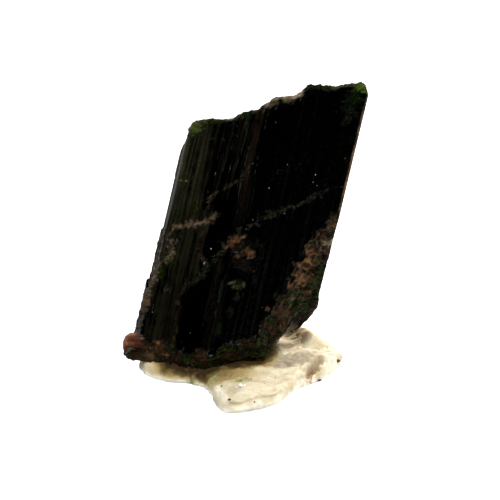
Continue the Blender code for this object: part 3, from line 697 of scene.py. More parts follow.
def wearEdges(skin, form):
    # A worn brownish bevel down the right edge
    bevel = (skin.faceOf == form["bevelFace"]) * ramp(skin.w, 6.4, 7.6) * ramp(13.4 - skin.w, 0.0, 0.6)
    strengthen(skin, "crust", bevel * (0.72 + 0.30 * skin.patchy))
    strengthen(skin, "pale", bevel * ramp(skin.grainy, -0.1, 0.6) * 0.35)

    # A rough strip above the foot
    coarse, fine = form["footGrain"]
    strip = ramp(form["footStrip"] + 0.30 * skin.patchy - (skin.w - skin.low), 0.0, 0.35)
    strip *= np.where(skin.front > 0.5, ramp(skin.u, -2.9, -2.2) * 0.4 + 0.6, 1.0)
    skin.relief += strip * (coarse * brokenFacets(skin.at * 2.8, 70) + fine * brokenFacets(skin.at * 6.5, 71))
    strengthen(skin, "crust", strip * (0.14 + 0.36 * ramp(skin.grainy + skin.patchy, -0.3, 1.0)))
    strengthen(skin, "green", strip * ramp(-skin.patchy, -0.1, 0.4) * 0.38)
    skin.footStrip = strip


def pushOut(skin, form):  # the relief moves the skin, and the edges at both ends crumble
    skin.relief += form["skinGrain"] * skin.fineGrain
    skin.u = skin.u + skin.outward[:, 0] * skin.relief
    skin.v = skin.v + skin.outward[:, 1] * skin.relief
    crumble = 0.5 + 0.5 * layeredNoise(joined(skin.u, skin.v, 0 * skin.w) * 2.2, 22)
    for away, end in ((skin.high - skin.w, "topCrumble"), (skin.w - skin.low, "footCrumble")):
        reach, depth = form[end]
        pull = depth * np.clip(1.0 - away / reach, 0.0, 1.0) ** 2 * crumble
        skin.u = skin.u - skin.outward[:, 0] * pull
        skin.v = skin.v - skin.outward[:, 1] * pull


def cutChip(u, v, w, chip, grain):  # moves points past a broken face straight in towards the long axis
    centre, facing, width, relief, seed = chip
    coarse, fine = grain
    normal = Vector(facing).normalized()
    turn = normal.to_track_quat("Z", "Y").to_matrix()
    across, up = np.array(turn.col[0]), np.array(turn.col[1])
    normal = np.array(normal)
    centre = np.array(centre)
    toward = u * normal[0] + v * normal[1]
    level = centre @ normal - w * normal[2]
    near = np.where(toward > 1e-6, toward - level, -9.0) > -0.35
    scale = np.ones(u.shape)
    if not near.any():
        return u, v, scale
    nearU, nearV, nearW = u[near], v[near], w[near]
    share = np.ones(nearU.shape)
    for _ in range(3):
        place = joined(nearU * share, nearV * share, nearW)
        a, b = (place - centre) @ across, (place - centre) @ up
        away = np.hypot(a, b)
        dish = 0.35 * (away / width) ** 2 + 6.0 * np.clip(np.maximum(abs(a), abs(b)) / width - 0.46, 0, 1) ** 2
        height = dish + relief * roughStone(a, b, 0.0 * a, 0.8, seed)
        height += coarse * brokenFacets(place * 2.3, seed * 31) + fine * brokenFacets(place * 5.5, seed * 37)
        share = np.clip((level[near] + height) / np.maximum(toward[near], 1e-6), 0.12, 1.0)
    scale[near] = share
    return u * scale, v * scale, scale


def breakAway(skin, form):  # the broken places and their finishes
    skin.broken = np.zeros(skin.u.shape)
    finish = skin.finish
    for number, chip in enumerate(form["chips"]):
        skin.u, skin.v, scale = cutChip(skin.u, skin.v, skin.w, chip, form["chipGrain"])
        cut = ramp(1.0 - scale, 0.001, 0.012)
        skin.broken = np.maximum(skin.broken, cut)
        place = joined(skin.u, skin.v, skin.w)
        lumps = layeredNoise(place * 2.2, 80 + number)
        speckle = layeredNoise(place * 9.0, 84 + number)
        zones = layeredNoise(place * 0.9, 88 + number)
        crack = 1.0 - ramp(abs(layeredNoise(place * 1.5, 92 + number)), 0.0, 0.10)
        rusty = 0.45
        if number == 0:  # the flank in front is rustiest near its top
            rusty = 0.45 + 0.55 * ramp(skin.w, 2.0, 4.2) - 0.20 * ramp(skin.w, 5.2, 5.9)
        lumpy = 0.80 * ramp(lumps + 0.8 * speckle + 0.7 * zones, -0.60, 0.75) + 0.18 * speckle
        strengthen(skin, "crust", cut * (0.12 + rusty * lumpy))
        strengthen(skin, "pale", cut * rusty * ramp(speckle, 0.30, 0.70) * 0.16)
        strengthen(skin, "green", cut * ramp(-lumps, -0.05, 0.45) * (0.42 + 0.12 * speckle))
        finish["crust"] = finish["crust"] * (1.0 - 0.85 * cut * ramp(-lumps, 0.10, 0.45))
        finish["crust"] = finish["crust"] * (1.0 - 0.55 * cut * crack)
        finish["green"] = finish["green"] * (1.0 - 0.6 * cut * crack)
        finish["frost"] = finish["frost"] * (1.0 - cut)


def unitedWithLump(u, v, w, lump, grain, seed):  # pushes the skin out to the far side of a round lump in it
    centre, radii = np.array(lump["centre"]), np.array(lump["radii"])
    coarse, fine = grain
    reach = np.hypot(u, v)
    across, through = u / reach, v / reach
    middle = np.hypot(centre[0], centre[1])
    place = joined(across * middle, through * middle, w)
    uneven = 1.0 + coarse * layeredNoise(place * 2.2, seed) + fine * brokenFacets(place * 3.5, seed + 5)
    a = (across / radii[0]) ** 2 + (through / radii[1]) ** 2
    b = across * centre[0] / radii[0] ** 2 + through * centre[1] / radii[1] ** 2
    c = (centre[0] / radii[0]) ** 2 + (centre[1] / radii[1]) ** 2
    c = c + ((w - centre[2]) / radii[2]) ** 2 - uneven ** 2
    under = b * b - a * c
    far = np.where(under > 0, (b + np.sqrt(np.maximum(under, 0.0))) / a, 0.0)
    scale = np.maximum(far / reach, 1.0)
    return u * scale, v * scale, ramp(far - reach, -0.02, 0.05)


def growKnobs(skin, form):  # host rock, paler and pinker towards its top left as painted light, and darker towards its lower right as painted shade
    for number, knob in enumerate(form["knobs"]):
        skin.u, skin.v, amount = unitedWithLump(skin.u, skin.v, skin.w, knob, form["knobGrain"], 77 + number)
        mottle = layeredNoise(joined(skin.u, skin.v, skin.w) * 5.0, 29)
        # The pink follows painted light from the top left, with painted shade to the lower right
        tone = ramp(1.5 * (-4.38 - skin.u) + 1.1 * (skin.w + 0.50) + 0.60 * mottle, -0.45, 0.95)
        for name in finishNames:
            skin.finish[name] = skin.finish[name] * (1 - amount)
        strengthen(skin, "pink", amount * knob["pink"] * (0.12 + 0.78 * tone))
        seat = amount * (1 - knob["pink"])
        strengthen(skin, "crust", seat * (0.30 + 0.34 * ramp(skin.patchy + 0.6 * skin.grainy, -0.1, 0.7)))
        strengthen(skin, "green", seat * (0.22 + 0.20 * skin.grainy))
        skin.broken = np.maximum(skin.broken * (1 - amount), amount * (1.0 - 0.6 * knob["pink"]))


def sideOf(start, end, place):  # whether a place is to the left of a line
    across = (end - start)[..., 0] * (place - start)[..., 1] - (end - start)[..., 1] * (place - start)[..., 0]
    return across > 0


def untangled(rim):  # the rim with each small loop in it drawn out straight
    rim = rim.copy()
    count = len(rim)
    for _ in range(40):
        start, end = rim, np.roll(rim, -1, axis=0)
        a, b, c, d = start[:, None], end[:, None], start[None], end[None]
        crossed = (sideOf(a, b, c) != sideOf(a, b, d)) & (sideOf(c, d, a) != sideOf(c, d, b))
        found = [(first, (second - first) % count) for first, second in np.argwhere(crossed)]
        found = [(first, step) for first, step in found if 2 <= step <= count // 2]
        if not found:
            break
        for first, step in found:
            low, high = rim[first].copy(), rim[(first + step + 1) % count].copy()
            for part in range(1, step + 1):
                rim[(first + part) % count] = low + (high - low) * part / (step + 1)
    return rim


def pointsInside(rim, form, draw):  # loose points inside a rim, how deep each is, and the triangles over all
    low, high = rim.min(axis=0), rim.max(axis=0)
    loose, depths = [], []
    for step, least, most in form["endPoints"]:
        u, v = np.meshgrid(np.arange(low[0], high[0], step), np.arange(low[1], high[1], 0.866 * step))
        u[1::2] += step / 2
        u = u + draw.uniform(-0.28, 0.28, u.shape) * step
        v = v + draw.uniform(-0.28, 0.28, v.shape) * step
        depth = depthInside(u, v, [tuple(point) for point in rim.tolist()])
        kept = (depth > least) & (depth <= most)
        loose.append(np.column_stack([u[kept], v[kept]]))
        depths.append(depth[kept])
    flat = np.concatenate(loose)
    every = [Vector(place) for place in np.concatenate([rim, flat]).tolist()]
    loop = [(number, (number + 1) % len(rim)) for number in range(len(rim))]
    made = delaunay_2d_cdt(every, loop, [], 1, 1e-7)
    number = [first[0] if first else -1 for first in made[3]]
    corners = np.array([[number[corner] for corner in face] for face in made[2]])
    corners = corners[(corners >= 0).all(axis=1)]
    return flat, np.concatenate(depths), corners


def endFinishes(place, isTop):  # finishes over a broken end
    u, v = place[:, 0], place[:, 1]
    lumps = layeredNoise(place * 1.9, 90 + isTop)
    speckle = layeredNoise(place * 7.0, 94 + isTop)
    ragged = 0.35 * lumps + 0.30 * speckle
    rust = 0.38 if isTop else 0.26
    finish = {name: np.zeros(len(place)) for name in finishNames}
    finish["crust"] = 0.14 + rust * ramp(lumps + 0.7 * speckle, -0.3, 0.7)
    finish["frost"] = ramp(-lumps, -0.4, 0.5) * (0.45 if isTop else 0.10)
    finish["green"] = ramp(-lumps, 0.0, 0.5) * 0.42
    if isTop:
        nearFront = ramp(-0.9 - v, 0.0, 0.5)
        sliver = ramp(-1.35 + ragged - v, 0.0, 0.4)
        sliver *= ramp(u + ragged, -0.9, -0.3) * ramp(1.0 - u + ragged, 0.0, 0.4)
        finish["green"] = np.maximum(finish["green"], nearFront * 0.45 * ramp(speckle, -0.5, 0.4))
        finish["pale"] = np.maximum(sliver * 0.72, ramp(speckle, 0.35, 0.65) * 0.3)
    return finish


def closeEnds(skin, form):  # the whole crystal's points, faces, finishes and roughness, with its broken ends
    for row in (0, -1):
        skin.u[row], skin.v[row] = untangled(np.column_stack([skin.u[row], skin.v[row]])).T
    points = [joined(skin.u, skin.v, skin.w).reshape(-1, 3)]
    finishes = {name: [value.ravel()] for name, value in skin.finish.items()}
    roughness = [np.maximum(skin.broken, np.maximum(skin.footStrip, 1.4 * skin.finish["crust"])).ravel()]
    count = skin.w.size
    index = np.arange(count).reshape(skin.w.shape)
    after = np.roll(index, -1, axis=1)
    faces = np.stack([index[:-1], after[:-1], after[1:], index[1:]], axis=-1).reshape(-1, 4).tolist()
    coarse, fine = form["endShake"]
    draw = np.random.default_rng(form["endSeed"])
    for rim, level, isTop in ((index[-1], topHeight, True), (index[0], footHeight, False)):
        edge = points[0][rim]
        flat, depth, corners = pointsInside(edge[:, :2], form, draw)
        height = level(flat[:, 0], flat[:, 1], form)
        place = np.column_stack([flat, height])
        shake = [
            coarse * brokenFacets(place * 2.6, 100 + axis) + fine * brokenFacets(place * 6.0, 103 + axis)
            for axis in (0, 1)
        ]
        # The end meets the rim where the rim is
        rimStep = edge[:, 2] - level(edge[:, 0], edge[:, 1], form)
        away = np.hypot(flat[:, None, 0] - edge[None, :, 0], flat[:, None, 1] - edge[None, :, 1])
        height = height + rimStep[away.argmin(axis=1)] * np.exp(-depth / 0.35)
        flat = flat + np.column_stack(shake) * ramp(depth, 0.0, 0.08)[:, None]
        points.append(np.column_stack([flat, height]))
        for name, value in endFinishes(points[-1], isTop).items():
            finishes[name].append(value)
        roughness.append(np.ones(len(flat)))
        corners = np.concatenate([rim, np.arange(count, count + len(flat))])[corners]
        faces += (corners if isTop else corners[:, ::-1]).tolist()
        count += len(flat)
    finishes = {name: np.clip(np.concatenate(value), 0.0, 1.0) for name, value in finishes.items()}
    return np.concatenate(points), faces, finishes, np.concatenate(roughness)


def makeCrystal(form):
    skin = startSkin(form)
    for step in (
        addStriae, weatherBack, weatherFront, addStreaks, addCrustLines, addSpots, finishRim, wearEdges,
        pushOut, breakAway, growKnobs,
    ):
        step(skin, form)
    points, faces, finishes, roughness = closeEnds(skin, form)

    lean = Matrix.Rotation(math.radians(-form["leanBack"]), 4, "X")
    lean = lean @ Matrix.Rotation(math.radians(form["leanRight"]), 4, "Y")
    points = points @ np.array(lean.to_3x3()).T + np.array(form["foot"])
    mesh = bpy.data.meshes.new("tourmaline_stone")
    mesh.from_pydata((points * mm).tolist(), [], faces)
    mesh.polygons.foreach_set("use_smooth", [bool(roughness[face].max() < 0.5) for face in faces])
    addFinish(mesh, "growth", finishes["crust"], finishes["frost"], finishes["green"])
    addFinish(mesh, "host", finishes["pink"], finishes["brown"], finishes["pale"])
    piece = bpy.data.objects.new("tourmaline_stone", mesh)
    bpy.context.scene.collection.objects.link(piece)
    print("crystal:", sum(len(face) - 2 for face in faces), "triangles")
    return piece


def tourmalineSurface(form):
    surface, tree, shader = newSurface("darkTourmaline")
    where = placeOf(tree, (math.radians(form["leanBack"]), math.radians(-form["leanRight"]), 0.0))
    crust, frost, green = finishesOf(tree, "growth")
    pink, brown, pale = finishesOf(tree, "host")

    fine = stretch(tree, grainOf(tree, where, 5.5, 4.0), 0.30, 0.70)
    finer = stretch(tree, grainOf(tree, where, 14.0, 3.0), 0.30, 0.70)
    strands = stretch(tree, grainOf(tree, where, 1.0, 3.0, (7.0, 7.0, 0.35)), 0.30, 0.70)
    mixed = compute(tree, "MULTIPLY", compute(tree, "ADD", fine, finer), 0.5)

    def toned(mask, grain, name):  # a stronger finish is lighter, and its grain varies it
        level = compute(tree, "MULTIPLY_ADD", mask, 0.62, compute(tree, "MULTIPLY", grain, 0.38))
        return colourRamp(tree, level, form["colours"][name])

    hue = stretch(tree, grainOf(tree, where, 1.0, 2.0, (9.0, 9.0, 0.30)), 0.44, 0.62)
    frostColour = blendColours(tree, hue, toned(frost, strands, "frost"), toned(frost, strands, "frostBrown"))

    # A few small pale specks in clusters, partly dust and partly painted glints
    specks = addNode(tree, "TexVoronoi", {"Vector": where, "Scale": 5.0, "Randomness": 1.0})
    speckColour = addNode(tree, "SeparateColor", {"Color": specks.outputs["Color"]}).outputs[0]
    speckSize = stretch(tree, speckColour, 0.70, 1.0, 0.0, 0.17)
    clustered = stretch(tree, grainOf(tree, where, 0.55, 2.0), 0.47, 0.62, 0.15, 1.0)
    speckSize = compute(tree, "MULTIPLY", speckSize, clustered)
    speckGlintMask = compute(tree, "LESS_THAN", specks.outputs["Distance"], speckSize)
    paleAndGlintMask = compute(tree, "MAXIMUM", compute(tree, "MULTIPLY", speckGlintMask, 0.30), pale)

    # The strongest finish covers the clear stone
    colour = form["clearColour"]
    closed = 0.0
    for mask, tint in (
        (green, toned(green, finer, "green")), (brown, toned(brown, strands, "brown")),
        (frost, frostColour), (crust, toned(crust, mixed, "crust")),
    ):
        lead = compute(tree, "MULTIPLY_ADD", closed, -0.75, mask)
        colour = blendColours(tree, stretch(tree, lead, 0.0, 0.09), colour, tint)
        closed = compute(tree, "MAXIMUM", closed, mask)
    for mask, tint, full in (
        (paleAndGlintMask, toned(pale, finer, "pale"), 0.50), (pink, toned(pink, mixed, "pink"), 0.15),
    ):
        colour = blendColours(tree, stretch(tree, mask, 0.03, full), colour, tint)
        closed = compute(tree, "MAXIMUM", closed, mask)
    put(tree, shader.inputs["Base Color"], colour)
    put(tree, shader.inputs["Transmission Weight"], stretch(tree, closed, 0.07, 0.20, 1.0, 0.0))
    shader.inputs["Specular IOR Level"].default_value = form["specularLevel"]
    shader.inputs["IOR"].default_value = form["ior"]
    matte = compute(tree, "MAXIMUM", crust, compute(tree, "MAXIMUM", pink, paleAndGlintMask))
    gloss = compute(tree, "MULTIPLY_ADD", frost, 0.22, stretch(tree, finer, 0.0, 1.0, 0.08, 0.18))
    put(tree, shader.inputs["Roughness"], stretch(tree, matte, 0.0, 0.5, gloss, 0.58))

    lines = grainOf(tree, where, 1.0, 2.0, (16.0, 16.0, 0.5))
    lines = compute(tree, "MULTIPLY", lines, compute(tree, "MULTIPLY_ADD", frost, 0.8, 0.15))
    grains = compute(tree, "MULTIPLY", finer, compute(tree, "ADD", crust, 0.10))
    heights = compute(tree, "ADD", lines, grains)
    bump = addNode(tree, "Bump", {"Strength": 0.25, "Distance": 0.00002, "Height": heights})
    put(tree, shader.inputs["Normal"], bump.outputs[0])
    absorb = addNode(tree, "VolumeAbsorption")
    absorb.inputs["Color"].default_value = form["absorbedColour"]
    absorb.inputs["Density"].default_value = form["absorbedDensity"]
    tree.links.new(absorb.outputs[0], tree.nodes["Material Output"].inputs["Volume"])
    return surface


# The putty, also in millimetres until its mesh is made

puttyForm = {
    "centre": (0.3, 0.2),
    "plan": [
        (4.72, 1.60), (4.45, 2.40), (3.95, 3.15), (3.30, 3.90), (2.20, 4.70), (0.50, 5.25), (-1.50, 5.05),
        (-3.30, 4.10), (-4.60, 2.60), (-5.10, 1.20), (-4.80, 0.10), (-3.90, -0.72), (-3.01, -0.95),
        (-2.15, -1.50), (-1.70, -2.30), (-1.52, -3.40), (-1.15, -4.70), (-0.56, -5.02), (0.44, -4.68),
        (1.28, -4.05), (1.98, -3.07), (2.53, -1.95), (3.05, -1.30), (3.75, -0.60), (4.40, 0.55),
    ],
    # How fine the mesh is: spokes, and the rings over the top, the side and the underside
    "spokes": 440,
    "rings": 108,
    "sideRings": 16,
    "underRings": 4,
    "ringSpread": 1.25,
    # Height at the rim and in the middle, and how uneven the top is
    "rim": 0.58,
    "body": 0.90,
    "roughness": 0.08,
    # How far out the top and the underside reach, as shares of the plan
    "topEdge": 0.945,
    "undersideInset": 0.955,
    # Swellings and hollows: centre, the two half widths, the turn of the long axis, and the height
    "swellings": [
        ((2.75, 0.10), (1.50, 0.40), 26.0, 0.50),
        ((3.05, 2.70), (1.50, 0.55), -52.0, 0.66),
        ((2.35, 1.30), (1.20, 0.45), 14.0, -0.26),
        ((0.60, -1.60), (2.30, 0.50), 6.0, 0.14),
        ((0.10, -3.70), (0.80, 0.90), 20.0, 0.18),
        ((0.20, 4.10), (2.30, 0.70), 0.0, 0.45),
        ((-3.30, 2.20), (0.80, 1.20), 30.0, 0.30),
        ((4.00, 0.10), (0.34, 0.60), 40.0, 0.20),
        ((-1.15, -4.10), (0.16, 0.70), 10.0, 0.10),
        ((0.70, -4.25), (1.00, 0.14), 32.0, 0.10),
        ((-1.00, -2.70), (0.16, 0.50), 20.0, 0.06),
    ],
    # Pressed-in lines: points in x and y, width and depth
    "creases": [
        ([(-1.45, -2.25), (-0.40, -2.60), (0.80, -2.45), (1.90, -1.75), (2.55, -0.90)], 0.09, 0.07),
        ([(-1.00, -3.30), (0.10, -3.55), (1.20, -3.15), (2.00, -2.30)], 0.08, 0.06),
        ([(0.10, -1.95), (1.20, -1.60), (2.20, -0.85), (2.95, -0.25)], 0.07, 0.06),
        ([(0.90, -1.20), (1.90, -0.55), (2.70, 0.45), (3.50, 0.70)], 0.10, 0.10),
        ([(-0.90, -4.35), (0.20, -4.25), (1.10, -3.70), (1.80, -2.90)], 0.07, 0.07),
        ([(-1.20, -4.30), (-1.00, -3.60), (-1.15, -2.90)], 0.06, 0.05),
        ([(-4.30, 0.10), (-3.30, -0.40), (-2.40, -0.85)], 0.08, 0.05),
        ([(3.50, 0.90), (4.00, 0.70), (4.45, 0.95)], 0.07, 0.08),
    ],
    # The open fold at the right: middle, half length, half width, turn, and how much of the height is gone
    "fold": ((3.17, -0.72), 0.70, 0.20, 66.0, 0.66),
    # The thin lip along the front of the tongue, as x range and reach
    "lip": (-0.9, 2.0, 0.07),
    # The gap left under the crystal, and how far from it the painted shade and stain reach
    "touch": 0.015,
    "shadeAndStainReach": 2.0,
    # Wrinkles in the top: the way they run, then the height of the broad ones, the fine ones and the pits, and
    # the depth of the cracks between them
    "wrinkleTurn": 24,
    "wrinkles": (0.040, 0.022, 0.016, 0.05),
    # Green smears: middle and half width
    "smears": [(-1.44, -2.00, 0.26), (0.05, -2.76, 0.24), (-0.30, -2.92, 0.22), (-2.55, -1.22, 0.22)],
    # Colours of the clean putty, of each finish over it, and of the painted shade and stain as they get
    # stronger: from, to, how much it covers there, and its colour
    "clean": [(0.32, (0.47, 0.385, 0.22)), (0.50, (0.56, 0.49, 0.325)), (0.68, (0.67, 0.61, 0.455))],
    "colours": {
        "streaks": (0.44, 0.335, 0.245),
        # a painted glow where light shines through the rear wall, in orange
        "rearGlow": (0.78, 0.57, 0.29),
        # painted shade
        "greyShade": (0.19, 0.145, 0.105),
        "beige": (0.41, 0.305, 0.135),
        # painted light
        "paintedBright": (0.96, 0.93, 0.78),
        "smear": (0.10, 0.18, 0.065),
        # the colour of the painted shade in the fold
        "fold": (0.25, 0.130, 0.042),
    },
    # painted shade and stain, from ochre through dark brown to near black closest to the crystal
    "shadeAndStains": [
        (0.0, 0.22, 0.85, (0.40, 0.30, 0.12)),
        (0.12, 0.45, 0.95, (0.130, 0.085, 0.022)),
        (0.45, 0.9, 0.92, (0.022, 0.012, 0.0035)),
    ],
    "subsurface": 0.35,
    "subsurfaceRadius": (1.0, 0.6, 0.3),
    "subsurfaceScale": 0.0004,
}


def smoothLoop(points, count):  # a smooth closed curve through points
    points = np.array(points)
    total = len(points)
    place = np.arange(count) * total / count
    first = place.astype(int)
    share = (place - first)[:, None]
    before, start, end, after = (points[(first + step) % total] for step in (-1, 0, 1, 2))
    straight = (end - before) * share
    bend = (2 * before - 5 * start + 4 * end - after) * share ** 2
    twist = (3 * start - before - 3 * end + after) * share ** 3
    return start + 0.5 * (straight + bend + twist)


def puttyTop(x, y, share, form):  # height of the top; share is how far out towards the edge a point is
    height = form["rim"] + (form["body"] - form["rim"]) * (1 - share ** 3)
    for (centreX, centreY), (longHalf, shortHalf), turn, rise in form["swellings"]:
        along, across = turned(x - centreX, y - centreY, turn)
        height = height + rise * np.exp(-(along / longHalf) ** 2 - (across / shortHalf) ** 2)
    folds = np.zeros(x.shape)
    for index in np.ndindex(x.shape):
        a, b = x[index], y[index]
        folds[index] = noise.noise((a * 0.9, b * 1.6, 2.0)) + 0.5 * noise.noise((a * 2.2, b * 3.1, 7.0))
    height = height + form["roughness"] * folds
    along, across = turned(x, y, form["wrinkleTurn"])
    broad, fine, pitted, cracked = form["wrinkles"]
    height = height + broad * layeredNoise(joined(along * 0.9, across * 3.6, 0 * x), 31)
    height = height + fine * layeredNoise(joined(along * 2.2, across * 8.5, 0 * x), 37)
    cracks = 1.0 - abs(layeredNoise(joined(along * 1.1, across * 2.3, 0 * x + 4.0), 32))
    height = height - cracked * ramp(cracks, 0.86, 1.0)
    height = height + pitted * layeredNoise(joined(x * 5.0, y * 5.0, 0 * x), 33)
    bend = 0.10 * layeredNoise(joined(x * 1.6, y * 1.6, 0 * x), 38)
    for line, width, depth in form["creases"]:
        away = distanceToLine(x + bend, y - bend, line) / (width * (1.0 + 2.0 * bend))
        height = height - depth * np.exp(-away ** 2) + 0.35 * depth * np.exp(-(away - 2.0) ** 2)
    return height


def inFold(x, y, form):  # how far a place is into the open fold
    middle, half, width, turn, _ = form["fold"]
    along, across = turned(x - middle[0], y - middle[1], turn)
    uneven = 0.55 * layeredNoise(joined(x * 3.0, y * 3.0, 0 * x), 39)
    return ramp(1.45 - np.hypot(along / half, across / width) - uneven, 0.0, 0.9)


def puttyRim(form):  # the edge seen from above, and the way out at each point
    rim = smoothLoop(form["plan"], form["spokes"])
    flatRim = joined(rim[:, 0], rim[:, 1], 0 * rim[:, 0])
    leftSide = ramp(-rim[:, 0], 1.0, 2.2) * ramp(-rim[:, 1], -0.5, 0.6)
    uneven = (0.03 + 0.07 * leftSide) * layeredNoise(flatRim * 2.2, 34)
    uneven = uneven + (0.02 + 0.05 * leftSide) * layeredNoise(flatRim * 5.0, 36) - 0.05
    outwards = rim - np.array(form["centre"])
    outwards /= np.hypot(outwards[:, 0], outwards[:, 1])[:, None]
    return rim + outwards * uneven[:, None], outwards


def puttyRows(form):  # rows of points from the middle of the top over the rounded side to the underside
    centre, topEdge = np.array(form["centre"]), form["topEdge"]
    rim, outwards = puttyRim(form)
    share, down, under = (np.linspace(0, 1, form[key] + 1)[1:] for key in ("rings", "sideRings", "underRings"))
    share = 1 - (1 - share) ** form["ringSpread"]
    upper = centre + (rim - centre)[None] * (share[:, None, None] * topEdge)
    upperHeight = puttyTop(upper[..., 0], upper[..., 1], share[:, None] * topEdge + 0 * upper[..., 0], form)

    angle = down * math.pi / 2
    side = centre + (rim - centre)[None] * (topEdge + (1 - topEdge) * np.sin(angle))[:, None, None]
    sideHeight = upperHeight[-1][None] * (1.0 - 0.75 * (1 - np.cos(angle)) - 0.05 * down)[:, None]
    bulges = layeredNoise(joined(side[..., 0] * 3.0, side[..., 1] * 3.0, sideHeight * 4.0), 35)
    low, high, reach = form["lip"]
    lipped = ramp(rim[:, 0], low, low + 0.4) * ramp(high - rim[:, 0], 0.0, 0.6) * ramp(-rim[:, 1], 2.0, 2.8)
    lipShape = np.exp(-((down - 0.88) / 0.14) ** 2) - 1.4 * np.exp(-((down - 0.55) / 0.14) ** 2)
    bulges = 0.045 * bulges - 0.015 + reach * lipped[None] * lipShape[:, None]
    side = side + outwards[None] * bulges[..., None]

    inset = 1.0 - (1.0 - form["undersideInset"]) * under ** 2
    underside = centre + (rim - centre)[None] * inset[:, None, None]
    underHeight = sideHeight[-1][None] * (1 - under)[:, None]
    return np.concatenate([upper, side, underside]), np.concatenate([upperHeight, sideHeight, underHeight])


def pressIn(xy, z, crystal, form):  # the crystal has pressed its own shape into the top
    tree = surfaceTree(crystal)
    closeness = np.zeros(z.shape)
    for index in np.ndindex(z.shape):
        if z[index] < 0.15:
            continue
        x, y = xy[index]
        hit = tree.ray_cast(Vector((x, y, -1.0)), Vector((0, 0, 1)), 6.0)[0]
        if hit is not None and hit.z - form["touch"] < z[index]:
            z[index] = max(0.05, hit.z - form["touch"])
        # How close each place is to the crystal, for the painted shade and stain beside it
        near = tree.find_nearest(Vector((x, y, z[index])), form["shadeAndStainReach"])
        if near[0] is not None:
            closeness[index] = 1.0 - near[3] / form["shadeAndStainReach"]
    return closeness


def softPlace(x, y, middle, half):  # 1 in the middle of a round or long place, and less away from it
    return np.exp(-((x - middle[0]) / half[0]) ** 2 - ((y - middle[1]) / half[1]) ** 2)


def addPuttyFinishes(mesh, points, closeness, fold, form):
    x, y, z = points.T
    uneven = layeredNoise(points * 2.0, 41)

    # Painted shade of the crystal beside it, darkest closest to it, mixed with a real brown stain, and ochre in
    # front of it that is partly painted shade too
    leastClose = 0.16 + 0.42 * ramp(x, 0.2, 1.8) + 0.30 * ramp(-1.6 - x, 0.0, 1.2)
    shadeAndStain = ramp(closeness + 0.14 * uneven, leastClose, 0.96)
    shadeAndStain = np.maximum(shadeAndStain, 0.42 * softPlace(x, y + 0.2 * uneven, (-0.9, -1.75), (1.2, 0.92)))
    shadeAndStain *= ramp(z + 0.1 * uneven, 0.12, 0.60) * (1.0 - 0.9 * ramp(-3.6 - x, 0.0, 0.8))
    shadeAndStain *= 1.0 - 0.92 * ramp(x, 0.7, 1.9)
    # Painted shade in the open fold and in the hollow beside it
    cavityShade = np.maximum(fold, 0.66 * softPlace(x - 0.1 * uneven, y, (3.50, -0.50), (0.26, 0.75)))
    # Painted glow of light coming through the rear wall from behind, in an orange tint
    rearGlow = ramp(y - 0.55 * (x - 3.0), 0.9, 2.0)
    addFinish(mesh, "shadeSoilGlow", shadeAndStain, cavityShade, rearGlow)

    # Painted shade in a band behind the ridge and beside the crystal's foot, painted light on the thin edges,
    # the left tip, the lobe at the right and the wedge under the crystal's overhang, and a beige left part
    greyShade = softPlace(x + 0.3 * uneven, y - 0.45 * (x - 2.3) + 0.15 * uneven, (2.1, -0.45), (1.2, 0.36))
    greyShade = np.maximum(greyShade, 0.9 * softPlace(x, y, (1.88, 0.45), (0.30, 0.30)))
    leftPart = ramp(-0.9 - x, 0.0, 0.9) * ramp(y, -2.6, -1.6)
    paintedBright = np.maximum.reduce([
        ramp(0.46 - 0.06 * leftPart + 0.16 * uneven - z, 0.0, 0.40),
        0.45 * ramp(-0.70 - x + 0.2 * uneven, 0.0, 0.5) * ramp(-2.6 - y, 0.0, 0.6),
        0.5 * ramp(-4.0 - x + 0.2 * uneven, 0.0, 0.8),
        ramp(x - 0.4 * (y + 0.3), 3.75, 4.1) * ramp(1.0 - y, 0.0, 0.6),
        0.6 * softPlace(x, y, (3.15, 2.0), (0.50, 0.45)),
        softPlace(x, y, (2.15, 1.15), (0.70, 0.65)),
    ])
    beige = ramp(-0.6 - x + 0.3 * uneven, 0.0, 1.2) * ramp(y + 0.2 * uneven, -2.6, -1.3) * ramp(z, 0.10, 0.50)
    addFinish(mesh, "tone", greyShade, paintedBright, beige)
    smear = np.maximum.reduce([softPlace(x, y, (x0, y0), (half, half)) for x0, y0, half in form["smears"]])
    addFinish(mesh, "marks", smear, 0 * smear, 0 * smear)


def makePutty(form, crystal):
    xy, z = puttyRows(form)
    fold = inFold(xy[..., 0], xy[..., 1], form)
    z = np.where(z > 0.06, np.maximum(z * (1.0 - form["fold"][4] * fold), 0.06), z)
    closeness = pressIn(xy, z, crystal, form)

    points = np.concatenate([xy, z[..., None]], axis=-1).reshape(-1, 3)
    points = np.concatenate([points, [[*form["centre"], min(z[0].mean(), 1.0)]]])
    index = np.arange(z.size).reshape(z.shape)
    after = np.roll(index, -1, axis=1)
    faces = np.stack([index[:-1], index[1:], after[1:], after[:-1]], axis=-1).reshape(-1, 4).tolist()
    faces += [(z.size, int(a), int(b)) for a, b in zip(index[0], after[0])]
    faces += [tuple(int(corner) for corner in index[-1][::-1])]
    mesh = bpy.data.meshes.new("putty_wad")
    mesh.from_pydata((points * mm).tolist(), [], faces)
    mesh.polygons.foreach_set("use_smooth", [True] * (len(mesh.polygons) - 1) + [False])
    addPuttyFinishes(mesh, points, np.append(closeness.ravel(), 0.0), np.append(fold.ravel(), 0.0), form)
    piece = bpy.data.objects.new("putty_wad", mesh)
    bpy.context.scene.collection.objects.link(piece)
    print("putty:", sum(len(face) - 2 for face in faces), "triangles")
    return piece


